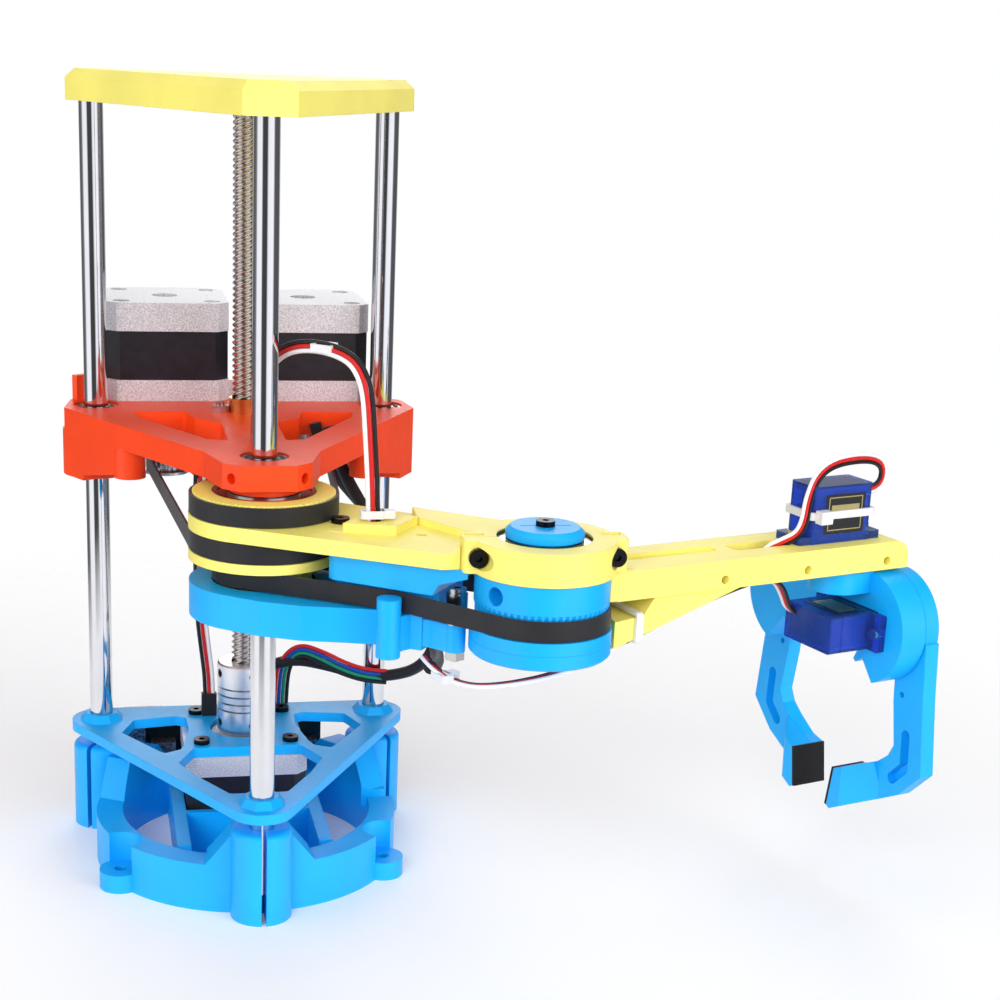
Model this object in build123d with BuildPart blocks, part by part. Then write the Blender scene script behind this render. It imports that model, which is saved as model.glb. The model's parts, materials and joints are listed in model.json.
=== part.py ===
from build123d import *
import math
import os

os.makedirs("parts", exist_ok=True)

# Sizes in millimetres, Z up, base standing on Z = 0, rods placed round the origin
rod_d = 8.0
rod_pitch = 98.5
belt_w = 6.0
running_gap = 0.05
free_gap = 0.3
screw_y = 15.0
screw_d = 8.0

# Base
ring_outer = 52.0
ring_inner = 43.0
ring_y = -4.0
ring_h = 16.5
post_r = 10.0
slit_w = 1.6
ear_r = 7.0
ear_t = 6.4
bolt_circle_r = 51.5
bolt_r = 2.0
motor_w = 42.3
motor_h = 34.0
motor_floor = 1.6
motor_screw_pitch = 31.0
motor_shaft_r = 2.5
pilot_r = 11.0
pilot_h = 2.0
plate_t = 3.5
collar_h = 2.6

# Heights of the lift
plate_low = motor_floor + motor_h
plate_top = plate_low + plate_t
post_h = plate_low - 4.6
gusset_h = post_h - 2.5
rod_low = 8.0
cap_low = 254.0
cap_t = 10.0
rod_top = cap_low + 4.0
coupler_low = plate_top - 0.6
coupler_len = 25.5
coupler_r = 8.9

# Carriage and the arm motors
carriage_low = 145.3
carriage_t = 8.0
carriage_top = carriage_low + carriage_t
motor_x = 24.5
motor_y = 55.5
boss_r = 11.4
linear_r = 7.5
linear_len = 24.0
tube_r = 10.0

# Arm stack, from the carriage down
bearing_outer = 16.0
bearing_w = 7.0
belt_pitch = 2.0
pitch_line = 0.254
wheel_teeth = 70
small_teeth = 20
drum_teeth = 48
elbow_teeth = 62
wheel_r, small_wheel_r, drum_r, elbow_wheel_r = [
    count * belt_pitch / (2 * math.pi) - pitch_line
    for count in (wheel_teeth, small_teeth, drum_teeth, elbow_teeth)]
flange_r = 23.2
belt_t = 0.75
belt_lift = 0.27
stack_top = carriage_low - 2.6
arm_top = stack_top - 6.7
arm_t = 4.7
arm_low = arm_top - arm_t
double_top = arm_low - free_gap
belt_two_low = double_top - belt_w
double_flange_top = belt_two_low - 0.2
double_flange_low = double_flange_top - 3.1
belt_three_top = double_flange_low - 0.5
belt_three_low = belt_three_top - belt_w
double_low = belt_three_low - 0.2
lower_top = double_low - free_gap
lower_t = 10.8
lower_low = lower_top - lower_t
belt_one_low = arm_top + 0.25

# Link from shoulder to elbow, and the forearm
link_len = 93.0
link_angle = -35.7
fore_angle = 17.0
clamp_angle = -2.0
ring_top = arm_low + 9.7
elbow_bearing_low = arm_low + 2.2
elbow_top = ring_top
elbow_flange_top = lower_top + 0.2
elbow_flange_low = elbow_flange_top - 8.4
elbow_seam = elbow_flange_low + 4.5
elbow_zone_top = belt_three_top + 0.3
elbow_body_r = 19.85
elbow_flange_r = 20.9
elbow_wheel_top = arm_low - free_gap
clear_r = elbow_flange_r + 1.4
beam_low = belt_three_top + 0.5
beam_top = beam_low + 9.0
beam_end = 130.0
beam_left = 14.3
beam_right = -9.7

# Small servos
servo_l = 22.8
servo_w = 12.2
servo_h = 22.7
servo_flange_l = 32.2
servo_flange_t = 2.5
servo_flange_at = 15.9
servo_shaft_off = 5.3
servo_bump_r = 5.9
servo_bump_h = 4.0
servo_shaft_r = 2.35
wrist_along = 111.7
wrist_left = 2.3

# Gripper
palm_face = 118.8
palm_t = 9.7
jaw_gap = 0.3
jaw_t = 5.3
pivot_z = 102.0
pivot_pitch = 41.4
lobe_r = 18.7
grip_mid = 16.0
pin_r = 2.5


def polar(radius, angle, x=0.0, y=0.0):
    turn = math.radians(angle)
    return (x + radius * math.cos(turn), y + radius * math.sin(turn))


def flat(x, y, z, angle=0.0):
    turn = math.radians(angle)
    return Plane(origin=(x, y, z), x_dir=(math.cos(turn), math.sin(turn), 0), z_dir=(0, 0, 1))


def disc(plane, radius, height, mode=Mode.ADD):
    with BuildSketch(plane) as face:
        Circle(radius)
    extrude(face.sketch, amount=height, mode=mode)


def ring(plane, outer, inner, height, mode=Mode.ADD):
    with BuildSketch(plane) as face:
        Circle(outer)
        Circle(inner, mode=Mode.SUBTRACT)
    extrude(face.sketch, amount=height, mode=mode)


def block(plane, length, width, height, corner=0.0, mode=Mode.ADD):
    with BuildSketch(plane) as face:
        Rectangle(length, width)
        if corner:
            fillet(face.vertices(), corner)
    extrude(face.sketch, amount=height, mode=mode)


def slab(plane, points, height, corner=0.0, mode=Mode.ADD):
    with BuildSketch(plane) as face:
        with BuildLine():
            Polyline(*points, close=True)
        make_face()
        if corner:
            fillet(face.vertices(), corner)
    extrude(face.sketch, amount=height, mode=mode)


def slot(plane, first, second, radius, height, mode=Mode.ADD):
    with BuildSketch(plane) as face:
        with Locations(first, second):
            Circle(radius)
        make_hull()
    extrude(face.sketch, amount=height, mode=mode)


def save(part, name):
    part.label = name
    export_step(part, "parts/" + name + ".step")


# Rods on an even triangle, the front one carrying the shoulder
rod_circle = rod_pitch / math.sqrt(3)
rod_angles = {"front": -90.0, "left": 150.0, "right": 30.0}
slit_angles = {"front": -90.0, "left": -120.0, "right": -60.0}
rod_at = {name: polar(rod_circle, angle) for name, angle in rod_angles.items()}
shoulder_x, shoulder_y = rod_at["front"]
elbow_x, elbow_y = polar(link_len, link_angle, shoulder_x, shoulder_y)
bore_r = rod_d / 2 + running_gap

with BuildPart() as rods:
    for x, y in rod_at.values():
        disc(flat(x, y, rod_low), rod_d / 2, rod_top - rod_low)
    chamfer(rods.edges().filter_by(GeomType.CIRCLE), 0.4)
save(rods.part, "guide_rods")

# Base frame
with BuildPart() as posts:
    for x, y in rod_at.values():
        disc(flat(x, y, 0), post_r, post_h)
    fillet(posts.edges().group_by(Axis.Z)[-1], 2)

with BuildPart() as gussets:
    for angle in rod_angles.values():
        x, y = polar(ring_inner - 6, angle)
        tx, ty = polar(1, angle + 90)
        rx, ry = polar(1, angle)
        across = Plane(origin=(x, y, 0), x_dir=(tx, ty, 0), z_dir=(rx, ry, 0))
        foot = post_r + 8
        slab(across, [(-foot, 0), (-foot, ring_h), (-post_r + 1, gusset_h), (post_r - 1, gusset_h),
                      (foot, ring_h), (foot, 0)], 24)
    with BuildSketch(flat(0, ring_y, 0)):
        Circle(ring_outer)
        Circle(ring_inner, mode=Mode.SUBTRACT)
    extrude(amount=gusset_h, mode=Mode.INTERSECT)

pocket = motor_w / 2 + 0.2
wall_x = pocket + 4.6
wall_back = screw_y + pocket + 3.2
wall_front = screw_y - pocket - 2.5
bay_front = ring_y - ring_outer + 8
board_y = ring_y + ring_outer - 3.2
board_t = 1.6
with BuildPart() as base_frame:
    ring(flat(0, ring_y, 0), ring_outer, ring_inner, ring_h)
    slab(Plane.XY, [(-wall_x, bay_front + 11), (wall_x, bay_front + 11), (wall_x, wall_back),
                    (-wall_x, wall_back)], ring_h)
    slab(Plane.XY, [(-wall_x, bay_front), (wall_x, bay_front), (wall_x, bay_front + 12),
                    (-wall_x, bay_front + 12)], ring_h - 1)
    add(gussets.part)
    add(posts.part)
    block(flat(0, screw_y, motor_floor), 2 * pocket, 2 * pocket, ring_h, mode=Mode.SUBTRACT)
    slab(flat(0, 0, motor_floor), [(-pocket, bay_front + 2), (pocket, bay_front + 2), (pocket, wall_front),
                                   (-pocket, wall_front)], ring_h, mode=Mode.SUBTRACT)
    block(flat(0, wall_back - 1.9, motor_floor + 6), 17, 4, ring_h, mode=Mode.SUBTRACT)
    ring(flat(0, ring_y, 0), ring_outer, ring_inner, ring_h)
    block(flat(0, screw_y, motor_floor), 2 * pocket, 2 * pocket, ring_h, mode=Mode.SUBTRACT)
    for angle in (-150.0, -30.0, 90.0):
        x, y = polar(bolt_circle_r, angle, 0, ring_y)
        disc(flat(x, y, 0), ear_r, ear_t)
        disc(flat(x, y, ear_t), ear_r, ring_h, mode=Mode.SUBTRACT)
        disc(flat(x, y, -1), bolt_r, ear_t + 2, mode=Mode.SUBTRACT)
    for name, (x, y) in rod_at.items():
        disc(flat(x, y, rod_low), bore_r, post_h, mode=Mode.SUBTRACT)
        sx, sy = polar(post_r / 2 + 1, slit_angles[name], x, y)
        block(flat(sx, sy, -1, slit_angles[name]), post_r + 2, slit_w, post_h + 3, mode=Mode.SUBTRACT)
    block(flat(0, board_y, ring_h - 2.5), 60, board_t + 0.1, 6, mode=Mode.SUBTRACT)
    block(flat(ring_outer - 4.5, 2, ring_h - 6, 4), 16, 7, 9, mode=Mode.SUBTRACT)
save(base_frame.part, "base_frame")

# Base plate with octagonal collars round the rods
half_pitch = motor_screw_pitch / 2
screw_spots = [(-half_pitch, -half_pitch), (half_pitch, -half_pitch), (half_pitch, half_pitch),
               (-half_pitch, half_pitch)]
front_window = [(-18.5, -5.5), (18.5, -5.5), (24.5, -19), (19, -31.5), (9.5, -48), (-9.5, -48),
                (-19, -31.5), (-24.5, -19)]
side_window = [(19.2, 14), (19.6, 25.6), (23, 27.6), (38, 25), (42.6, 12.4), (29, -9.4), (23, -6),
               (21.6, -1)]
with BuildPart() as base_plate:
    with BuildSketch(Plane.XY.offset(plate_low)):
        for x, y in rod_at.values():
            with Locations((x, y)):
                Circle(10.4)
        make_hull()
        with Locations((0, screw_y)):
            Circle(11.6, mode=Mode.SUBTRACT)
        with Locations((0, screw_y)):
            with Locations(*screw_spots):
                Circle(1.65, mode=Mode.SUBTRACT)
    extrude(amount=plate_t)
    for x, y in rod_at.values():
        with BuildSketch(flat(x, y, plate_top)):
            RegularPolygon(7.9, 8, rotation=22.5)
        extrude(amount=collar_h, taper=38)
        disc(flat(x, y, plate_low - 1), bore_r, plate_t + collar_h + 2, mode=Mode.SUBTRACT)
    slab(Plane.XY.offset(plate_low - 1), front_window, plate_t + 2, corner=2, mode=Mode.SUBTRACT)
    slab(Plane.XY.offset(plate_low - 1), side_window, plate_t + 2, corner=1.5, mode=Mode.SUBTRACT)
    slab(Plane.XY.offset(plate_low - 1), [(-x, y) for x, y in side_window], plate_t + 2, corner=1.5,
         mode=Mode.SUBTRACT)
save(base_plate.part, "base_plate")


def button_head(plane, shank, head_r=2.8, head_h=1.65, shank_r=1.45):
    with BuildSketch(plane) as face:
        Circle(head_r)
        RegularPolygon(1.15, 6, mode=Mode.SUBTRACT)
    extrude(face.sketch, amount=head_h)
    with BuildSketch(plane) as face:
        Circle(head_r - 0.6)
    extrude(face.sketch, amount=0.6)
    disc(plane, shank_r, -shank)


with BuildPart() as plate_screws:
    for x, y in screw_spots:
        button_head(flat(x, y + screw_y, plate_top), plate_t + 3.5)
save(plate_screws.part, "plate_screws")

# Top cap, with the bearing that holds the screw end
with BuildPart() as top_cap:
    with BuildSketch(Plane.XY.offset(cap_low)):
        with BuildLine():
            corners = []
            for angle, past_rod in ((-90.0, 9.5), (30.0, 4.8), (150.0, 4.8)):
                for side in (-8.0, 8.0):
                    x, y = polar(rod_circle + past_rod, angle)
                    corners.append(polar(side, angle + 90, x, y))
            Polyline(*corners, close=True)
        make_face()
    extrude(amount=cap_t)
    chamfer(top_cap.edges().group_by(Axis.Z)[-1], 2.8)
    for x, y in rod_at.values():
        disc(flat(x, y, cap_low - 1), bore_r, rod_top - cap_low + 1.05, mode=Mode.SUBTRACT)
    disc(flat(0, screw_y, cap_low - 1), 11.05, bearing_w + 1.05, mode=Mode.SUBTRACT)
save(top_cap.part, "top_cap")


def ball_bearing(plane, inner, outer, width):
    # Two races with a shallow shield between them
    ring(plane, outer, inner, width)
    race = (outer - inner) * 0.24
    ring(plane, outer - race, inner + race, 0.5, mode=Mode.SUBTRACT)
    ring(plane.offset(width - 0.5), outer - race, inner + race, 0.5, mode=Mode.SUBTRACT)


with BuildPart() as screw_bearing:
    ball_bearing(flat(0, screw_y, cap_low), screw_d / 2 + running_gap, 11, bearing_w)
save(screw_bearing.part, "screw_top_bearing")

# Stepper motors: the plane lies on the mounting face, its normal along the shaft
front_bell = 7.3
rear_bell = 9.8


def chamfered_square(plane, width, cut, height):
    with BuildSketch(plane) as face:
        Rectangle(width, width)
        chamfer(face.vertices(), cut)
    extrude(face.sketch, amount=height)


def motors(prefix, planes):
    with BuildPart() as bells:
        for plane in planes:
            rear = plane.offset(-motor_h)
            chamfered_square(plane, motor_w, 3.7, -front_bell)
            chamfered_square(rear, motor_w, 3.7, rear_bell)
            disc(plane, pilot_r, pilot_h)
            disc(rear.offset(-1), motor_shaft_r + free_gap, motor_h + 8, mode=Mode.SUBTRACT)
            disc(rear.offset(-1), 4.5, 2.6, mode=Mode.SUBTRACT)
            for spot in screw_spots:
                with BuildSketch(plane) as face:
                    with Locations(spot):
                        Circle(1.5)
                extrude(face.sketch, amount=-4.5, mode=Mode.SUBTRACT)
                with BuildSketch(rear) as face:
                    with Locations(spot):
                        Circle(2.9)
                extrude(face.sketch, amount=1.6, mode=Mode.SUBTRACT)
    save(bells.part, prefix + "_bells")
    with BuildPart() as stators:
        for plane in planes:
            chamfered_square(plane.offset(-front_bell), motor_w - 0.4, 4.6,
                             -(motor_h - front_bell - rear_bell))
            disc(plane.offset(-motor_h), motor_shaft_r + free_gap, motor_h, mode=Mode.SUBTRACT)
    save(stators.part, prefix + "_stator")


motors("lift_motor", [flat(0, screw_y, plate_low)])
motors("arm_motor", [Plane(origin=(side * motor_x, motor_y, carriage_top), x_dir=(1, 0, 0),
                           z_dir=(0, 0, -1)) for side in (-1, 1)])

# Lead screw, coupler and the lift motor's shaft
coupler_top = coupler_low + coupler_len
coupler_mid = coupler_low + coupler_len / 2
shaft_top = coupler_mid - 0.5
with BuildPart() as z_shaft:
    disc(flat(0, screw_y, motor_floor + 1.8), motor_shaft_r, shaft_top - motor_floor - 1.8)
save(z_shaft.part, "lift_motor_shaft")

with BuildPart() as lead_screw:
    disc(flat(0, screw_y, coupler_mid + 0.5), screw_d / 2, cap_low + bearing_w - coupler_mid - 0.5)
save(lead_screw.part, "lead_screw")

set_screws = [(coupler_low + 3.6, 200.0), (coupler_low + 3.6, 290.0), (coupler_top - 3.6, 200.0),
              (coupler_top - 3.6, 290.0)]
with BuildPart() as coupler:
    disc(flat(0, screw_y, coupler_low), coupler_r, coupler_len)
    chamfer(coupler.edges().filter_by(GeomType.CIRCLE), 0.6)
    disc(flat(0, screw_y, coupler_low - 1), motor_shaft_r + running_gap, coupler_len, mode=Mode.SUBTRACT)
    disc(flat(0, screw_y, coupler_mid), screw_d / 2 + running_gap, coupler_len, mode=Mode.SUBTRACT)
    for step in range(4):
        ring(flat(0, screw_y, coupler_mid - 4.4 + step * 2.7), coupler_r + 1, coupler_r - 3.2, 0.6,
             mode=Mode.SUBTRACT)
    for height, angle in set_screws:
        x, y = polar(1, angle)
        radial = Plane(origin=(0, screw_y, height), x_dir=(0, 0, 1), z_dir=(x, y, 0))
        disc(radial, 1.55, coupler_r + 1, mode=Mode.SUBTRACT)
save(coupler.part, "coupler")

with BuildPart() as coupler_screws:
    for height, angle in set_screws:
        x, y = polar(1, angle)
        start = motor_shaft_r + 0.1 if height < coupler_mid else screw_d / 2 + 0.1
        radial = Plane(origin=(x * start, screw_y + y * start, height), x_dir=(0, 0, 1), z_dir=(x, y, 0))
        with BuildSketch(radial) as face:
            Circle(1.5)
        extrude(face.sketch, amount=coupler_r - 0.6 - start)
        with BuildSketch(radial.offset(coupler_r - 1.8 - start)) as face:
            RegularPolygon(0.85, 6)
        extrude(face.sketch, amount=2, mode=Mode.SUBTRACT)
save(coupler_screws.part, "coupler_set_screws")


def belt_teeth(plane, radius, count, height):
    # Grooves of a toothed wheel, one for each tooth of the belt
    with BuildSketch(plane) as face:
        with PolarLocations(radius, count):
            Circle(0.55)
    extrude(face.sketch, amount=height, mode=Mode.SUBTRACT)


# Carriage: plate, nose over the shoulder, rear bosses and side skirts
nut_r = 5.1
nut_flange_r = 11.0
nut_flange_low = carriage_low - 0.5
nut_flange_t = 3.5
nose_y = shoulder_y - 14.4
side_x, side_y = rod_at["right"]
corner_x, corner_y = side_x + 10.75, side_y - 6.4
rear_x, rear_y = motor_x + 22.7, motor_y + 22.5
half_outline = [(8.6, nose_y), (13.6, nose_y + 4.8), (18.0, nose_y + 20.8), (corner_x, corner_y),
                (side_x + 8.55, side_y + 9.1), (rear_x, motor_y - 9), (rear_x, rear_y)]
plate_outline = half_outline + [(-x, y) for x, y in reversed(half_outline)]
carriage_window = [(9.2, -33.5), (15.5, -31.5), (35.6, 5), (37.2, 13.6), (19.8, 14.6), (17.5, 3.5),
                   (9.2, -5)]
edge_run = math.dist(half_outline[2], half_outline[3])
edge_x, edge_y = (18.0 - corner_x) / edge_run, (nose_y + 20.8 - corner_y) / edge_run
with BuildPart() as carriage:
    slab(Plane.XY.offset(carriage_low), plate_outline, carriage_t)
    for hand in (-1, 1):
        slab(Plane.XY.offset(carriage_low - 1), [(hand * x, y) for x, y in carriage_window],
             carriage_t + 2, corner=1.2, mode=Mode.SUBTRACT)
    for name, hand in (("left", -1), ("right", 1)):
        x, y = rod_at[name]
        disc(flat(x, y, carriage_low - 15.6), boss_r, 15.6)
        near_x, near_y = corner_x * hand, corner_y
        far_x, far_y = near_x + 33 * edge_x * hand, near_y + 33 * edge_y
        in_x, in_y = 4.6 * edge_y * hand, -4.6 * edge_x
        skirt = [(near_x, near_y), (far_x, far_y), (far_x + in_x, far_y + in_y),
                 (hand * (side_x - 5.3), side_y - 16.4), (hand * (side_x - 5.3), side_y + 1.6),
                 (hand * (side_x + 8.55), side_y + 9.1)]
        slab(Plane.XY.offset(carriage_low - 15), skirt, 15)
        upright = Plane(origin=(near_x, near_y, carriage_low), x_dir=(edge_x * hand, edge_y, 0),
                        z_dir=(-edge_y, edge_x * hand, 0))
        slab(upright.offset(-12), [(11.8, 13.2), (40, 7.6), (40, 30), (11.8, 30)], 24,
             mode=Mode.SUBTRACT)
        disc(flat(far_x + in_x * 1.1, far_y + in_y * 1.1, carriage_low - 10.2), 5.2, 10.2)
        disc(flat(x, y, carriage_low - 20), linear_r + running_gap, 40, mode=Mode.SUBTRACT)
        disc(flat(hand * motor_x, motor_y, carriage_low - 1), pilot_r + running_gap, 20, mode=Mode.SUBTRACT)
        for spot_x, spot_y in screw_spots:
            disc(flat(hand * motor_x + spot_x, motor_y + spot_y, carriage_low - 1), 1.65, 20,
                 mode=Mode.SUBTRACT)
    disc(flat(shoulder_x, shoulder_y, stack_top + free_gap), 11.3, carriage_low - stack_top)
    disc(flat(shoulder_x, shoulder_y, carriage_low - 5), tube_r + running_gap, 9, mode=Mode.SUBTRACT)
    disc(flat(shoulder_x, shoulder_y, carriage_low - 5), linear_r + running_gap, 20, mode=Mode.SUBTRACT)
    disc(flat(0, screw_y, nut_flange_low - 1), nut_flange_r + 0.1, nut_flange_t + 1, mode=Mode.SUBTRACT)
    disc(flat(0, screw_y, carriage_low), nut_r + running_gap, 20, mode=Mode.SUBTRACT)
    for side in (-8.0, 8.0):
        disc(flat(side, screw_y, carriage_low), 1.55, 20, mode=Mode.SUBTRACT)
    for hand in (-1, 1):
        x, y = hand * 11.1, nose_y + 2.4
        aim = Plane(origin=(x + hand * 0.65, y - 0.75, carriage_low + 3.6), x_dir=(0, 0, 1),
                    z_dir=(-hand * 0.6575, 0.7534, 0))
        disc(aim, 1.65, 4.4, mode=Mode.SUBTRACT)
    slab(Plane.XY.offset(carriage_top), [(-side_x - 7.9, side_y + 9.2), (-rear_x - 0.2, motor_y - 9.6),
                                         (-rear_x - 0.2, motor_y - 12.3), (-side_x - 6.3, side_y + 8)],
         8.5)
    disc(Plane.XY.offset(carriage_low - 1), 1.95, 3.6, mode=Mode.SUBTRACT)
save(carriage.part, "carriage")

with BuildPart() as shoulder_tube:
    ring(flat(shoulder_x, shoulder_y, lower_low + 0.2), tube_r, linear_r + running_gap,
         carriage_low + 3.7 - lower_low)
save(shoulder_tube.part, "shoulder_tube")

lower_bearing_low = lower_top - bearing_w
double_bearing_low = double_top - bearing_w
upper_bearing_low = stack_top - bearing_w
with BuildPart() as shoulder_spacers:
    for low, high in ((lower_top, double_bearing_low), (double_top, upper_bearing_low)):
        ring(flat(shoulder_x, shoulder_y, low + 0.1), 11.3, tube_r + running_gap, high - low - 0.2)
    ring(flat(shoulder_x, shoulder_y, lower_low - 0.6), tube_r + 3, tube_r + running_gap, 3.6)
    ring(flat(shoulder_x, shoulder_y, lower_low + 3), 11.3, tube_r + running_gap, 0.7)
save(shoulder_spacers.part, "shoulder_spacers")


def linear_bearing(plane):
    ring(plane, linear_r, rod_d / 2 + running_gap, linear_len)
    for low in (3.2, linear_len - 4.3):
        ring(plane.offset(low), linear_r + 1, linear_r - 0.35, 1.1, mode=Mode.SUBTRACT)
    for low in (0, linear_len - 0.6):
        ring(plane.offset(low), linear_r - 1.2, rod_d / 2 + 0.5, 0.6, mode=Mode.SUBTRACT)


with BuildPart() as linear_bearings:
    linear_bearing(flat(shoulder_x, shoulder_y, lower_low + 0.6))
    for x, y in rod_at.values():
        linear_bearing(flat(x, y, carriage_top - 0.5 - linear_len))
save(linear_bearings.part, "linear_bearings")

with BuildPart() as lead_nut:
    disc(flat(0, screw_y, nut_flange_low - 1.5), nut_r, 15)
    disc(flat(0, screw_y, nut_flange_low), nut_flange_r, nut_flange_t)
    disc(flat(0, screw_y, nut_flange_low - 2), screw_d / 2 + 2 * running_gap, 20, mode=Mode.SUBTRACT)
    for side in (-8.0, 8.0):
        disc(flat(side, screw_y, nut_flange_low - 1), 1.55, 6, mode=Mode.SUBTRACT)
save(lead_nut.part, "lead_nut")

with BuildPart() as carriage_screws:
    for side in (-8.0, 8.0):
        disc(flat(side, screw_y, nut_flange_low - 1.9), 2.6, 1.9)
        disc(flat(side, screw_y, nut_flange_low), 1.45, carriage_top + 3.4 - nut_flange_low)
        with BuildSketch(flat(side, screw_y, carriage_top)) as face:
            RegularPolygon(3.1, 6, rotation=30)
        extrude(face.sketch, amount=2.3)
    for hand in (-1, 1):
        for spot_x, spot_y in screw_spots:
            x, y = hand * motor_x + spot_x, motor_y + spot_y
            disc(flat(x, y, carriage_low), 1.45, carriage_t + 4)
            disc(flat(x, y, carriage_low - 2.4), 2.75, 2.4)
save(carriage_screws.part, "carriage_screws")

# Shafts and small belt wheels of the arm motors
shaft_low = carriage_top - 24.0
wheel_zone = belt_w + 0.7
for name, hand in (("left", -1), ("right", 1)):
    belt_low = belt_two_low if hand < 0 else belt_one_low
    zone_low = belt_low - 0.35
    with BuildPart() as wheel:
        disc(flat(hand * motor_x, motor_y, zone_low), small_wheel_r, wheel_zone)
        belt_teeth(flat(hand * motor_x, motor_y, zone_low), small_wheel_r, small_teeth, wheel_zone)
        disc(flat(hand * motor_x, motor_y, zone_low - 1), small_wheel_r + 2, 1)
        disc(flat(hand * motor_x, motor_y, zone_low + wheel_zone), small_wheel_r + 2, 1)
        if hand < 0:
            disc(flat(hand * motor_x, motor_y, zone_low + wheel_zone), 7.6, 7)
        else:
            disc(flat(hand * motor_x, motor_y, zone_low - 7), 7.6, 7)
        disc(flat(hand * motor_x, motor_y, zone_low - 10), motor_shaft_r + 0.02, 40, mode=Mode.SUBTRACT)
        disc(flat(hand * motor_x, motor_y, shaft_low), motor_shaft_r,
             carriage_top + motor_h - 1.2 - shaft_low)
    save(wheel.part, name + "_motor_rotor")

# Guide that leads both belts past the lead screw
roller_r = 6.0
with BuildPart() as belt_guide:
    disc(Plane.XY.offset(belt_two_low - 0.5), 1.9, carriage_low + 2.5 - belt_two_low)
    disc(Plane.XY.offset(belt_two_low - 2), 3.4, 1.5)
    disc(Plane.XY.offset(belt_two_low + belt_w + 0.3), 3.2, belt_one_low - belt_two_low - belt_w - 0.6)
    ring(Plane.XY.offset(belt_two_low - 0.3), roller_r, 2.0, belt_w + 0.6)
    ring(Plane.XY.offset(belt_one_low - 0.3), roller_r, 2.0, belt_w + 0.6)
save(belt_guide.part, "belt_guide")


def belt_path(stops):
    # Each stop is x, y, radius and turning sense; gives run ends and arc middles
    count = len(stops)
    runs = []
    for index in range(count):
        x0, y0, r0, s0 = stops[index]
        x1, y1, r1, s1 = stops[(index + 1) % count]
        far = math.hypot(x1 - x0, y1 - y0)
        lean = math.asin((s1 * r1 - s0 * r0) / far)
        head = math.atan2(y1 - y0, x1 - x0) - lean
        nx, ny = -math.sin(head), math.cos(head)
        runs.append(((x0 - nx * s0 * r0, y0 - ny * s0 * r0), (x1 - nx * s1 * r1, y1 - ny * s1 * r1)))
    arcs = []
    for index in range(count):
        x, y, r, s = stops[index]
        start = runs[index - 1][1]
        end = runs[index][0]
        a0 = math.atan2(start[1] - y, start[0] - x)
        a1 = math.atan2(end[1] - y, end[0] - x)
        turn = (a1 - a0) * s % (2 * math.pi)
        middle = a0 + s * turn / 2
        arcs.append((start, (x + r * math.cos(middle), y + r * math.sin(middle)), end))
    return runs, arcs


def belt_edge(stops, shift):
    runs, arcs = belt_path([(x, y, r + s * shift, s) for x, y, r, s in stops])
    for index in range(len(runs)):
        ThreePointArc(*arcs[index])
        Line(*runs[index])


def belt(name, plane, stops):
    with BuildPart() as band:
        with BuildSketch(plane) as face:
            with BuildLine():
                belt_edge(stops, belt_t / 2)
            make_face()
            with BuildLine():
                belt_edge(stops, -belt_t / 2)
            make_face(mode=Mode.SUBTRACT)
        extrude(face.sketch, amount=belt_w)
    save(band.part, name)
    runs, arcs = belt_path(stops)
    print(name, "straight runs", [round(math.dist(*run), 1) for run in runs])


on_wheel = belt_lift + belt_t / 2
guide_stop = (0, 0, roller_r + running_gap + belt_t / 2, -1)
shoulder_stop = (shoulder_x, shoulder_y, wheel_r + on_wheel, 1)
belt("belt_one", Plane.XY.offset(belt_one_low),
     [shoulder_stop, (motor_x, motor_y, small_wheel_r + on_wheel, 1), guide_stop])
belt("belt_two", Plane.XY.offset(belt_two_low),
     [shoulder_stop, guide_stop, (-motor_x, motor_y, small_wheel_r + on_wheel, 1)])

# Link: everything below is drawn along the link, x from shoulder to elbow
drawn_len = 93.0
wheel_end = flange_r + 9.8


def stretch(n):
    # Shapes beyond the shoulder wheel follow the length of the link
    if n <= wheel_end:
        return n
    return wheel_end + (n - wheel_end) * (link_len - wheel_end) / (drawn_len - wheel_end)


peg_n = stretch(51.5)
peg_m = 16.0
peg_r = 3.65
idler_n = link_len - 23.0
idler_m = 9.0


def link(n, m, z):
    x, y = polar(n, link_angle, shoulder_x, shoulder_y)
    x, y = polar(m, link_angle - 90, x, y)
    return flat(x, y, z, link_angle)


def on_link(points):
    return [(stretch(n), -m) for n, m in points]


belt("belt_three", link(0, 0, belt_three_low),
     [(0, 0, drum_r + on_wheel, 1), (peg_n, -peg_m, peg_r + running_gap + belt_t / 2, -1),
      (link_len, 0, elbow_wheel_r + on_wheel, 1)])

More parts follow.
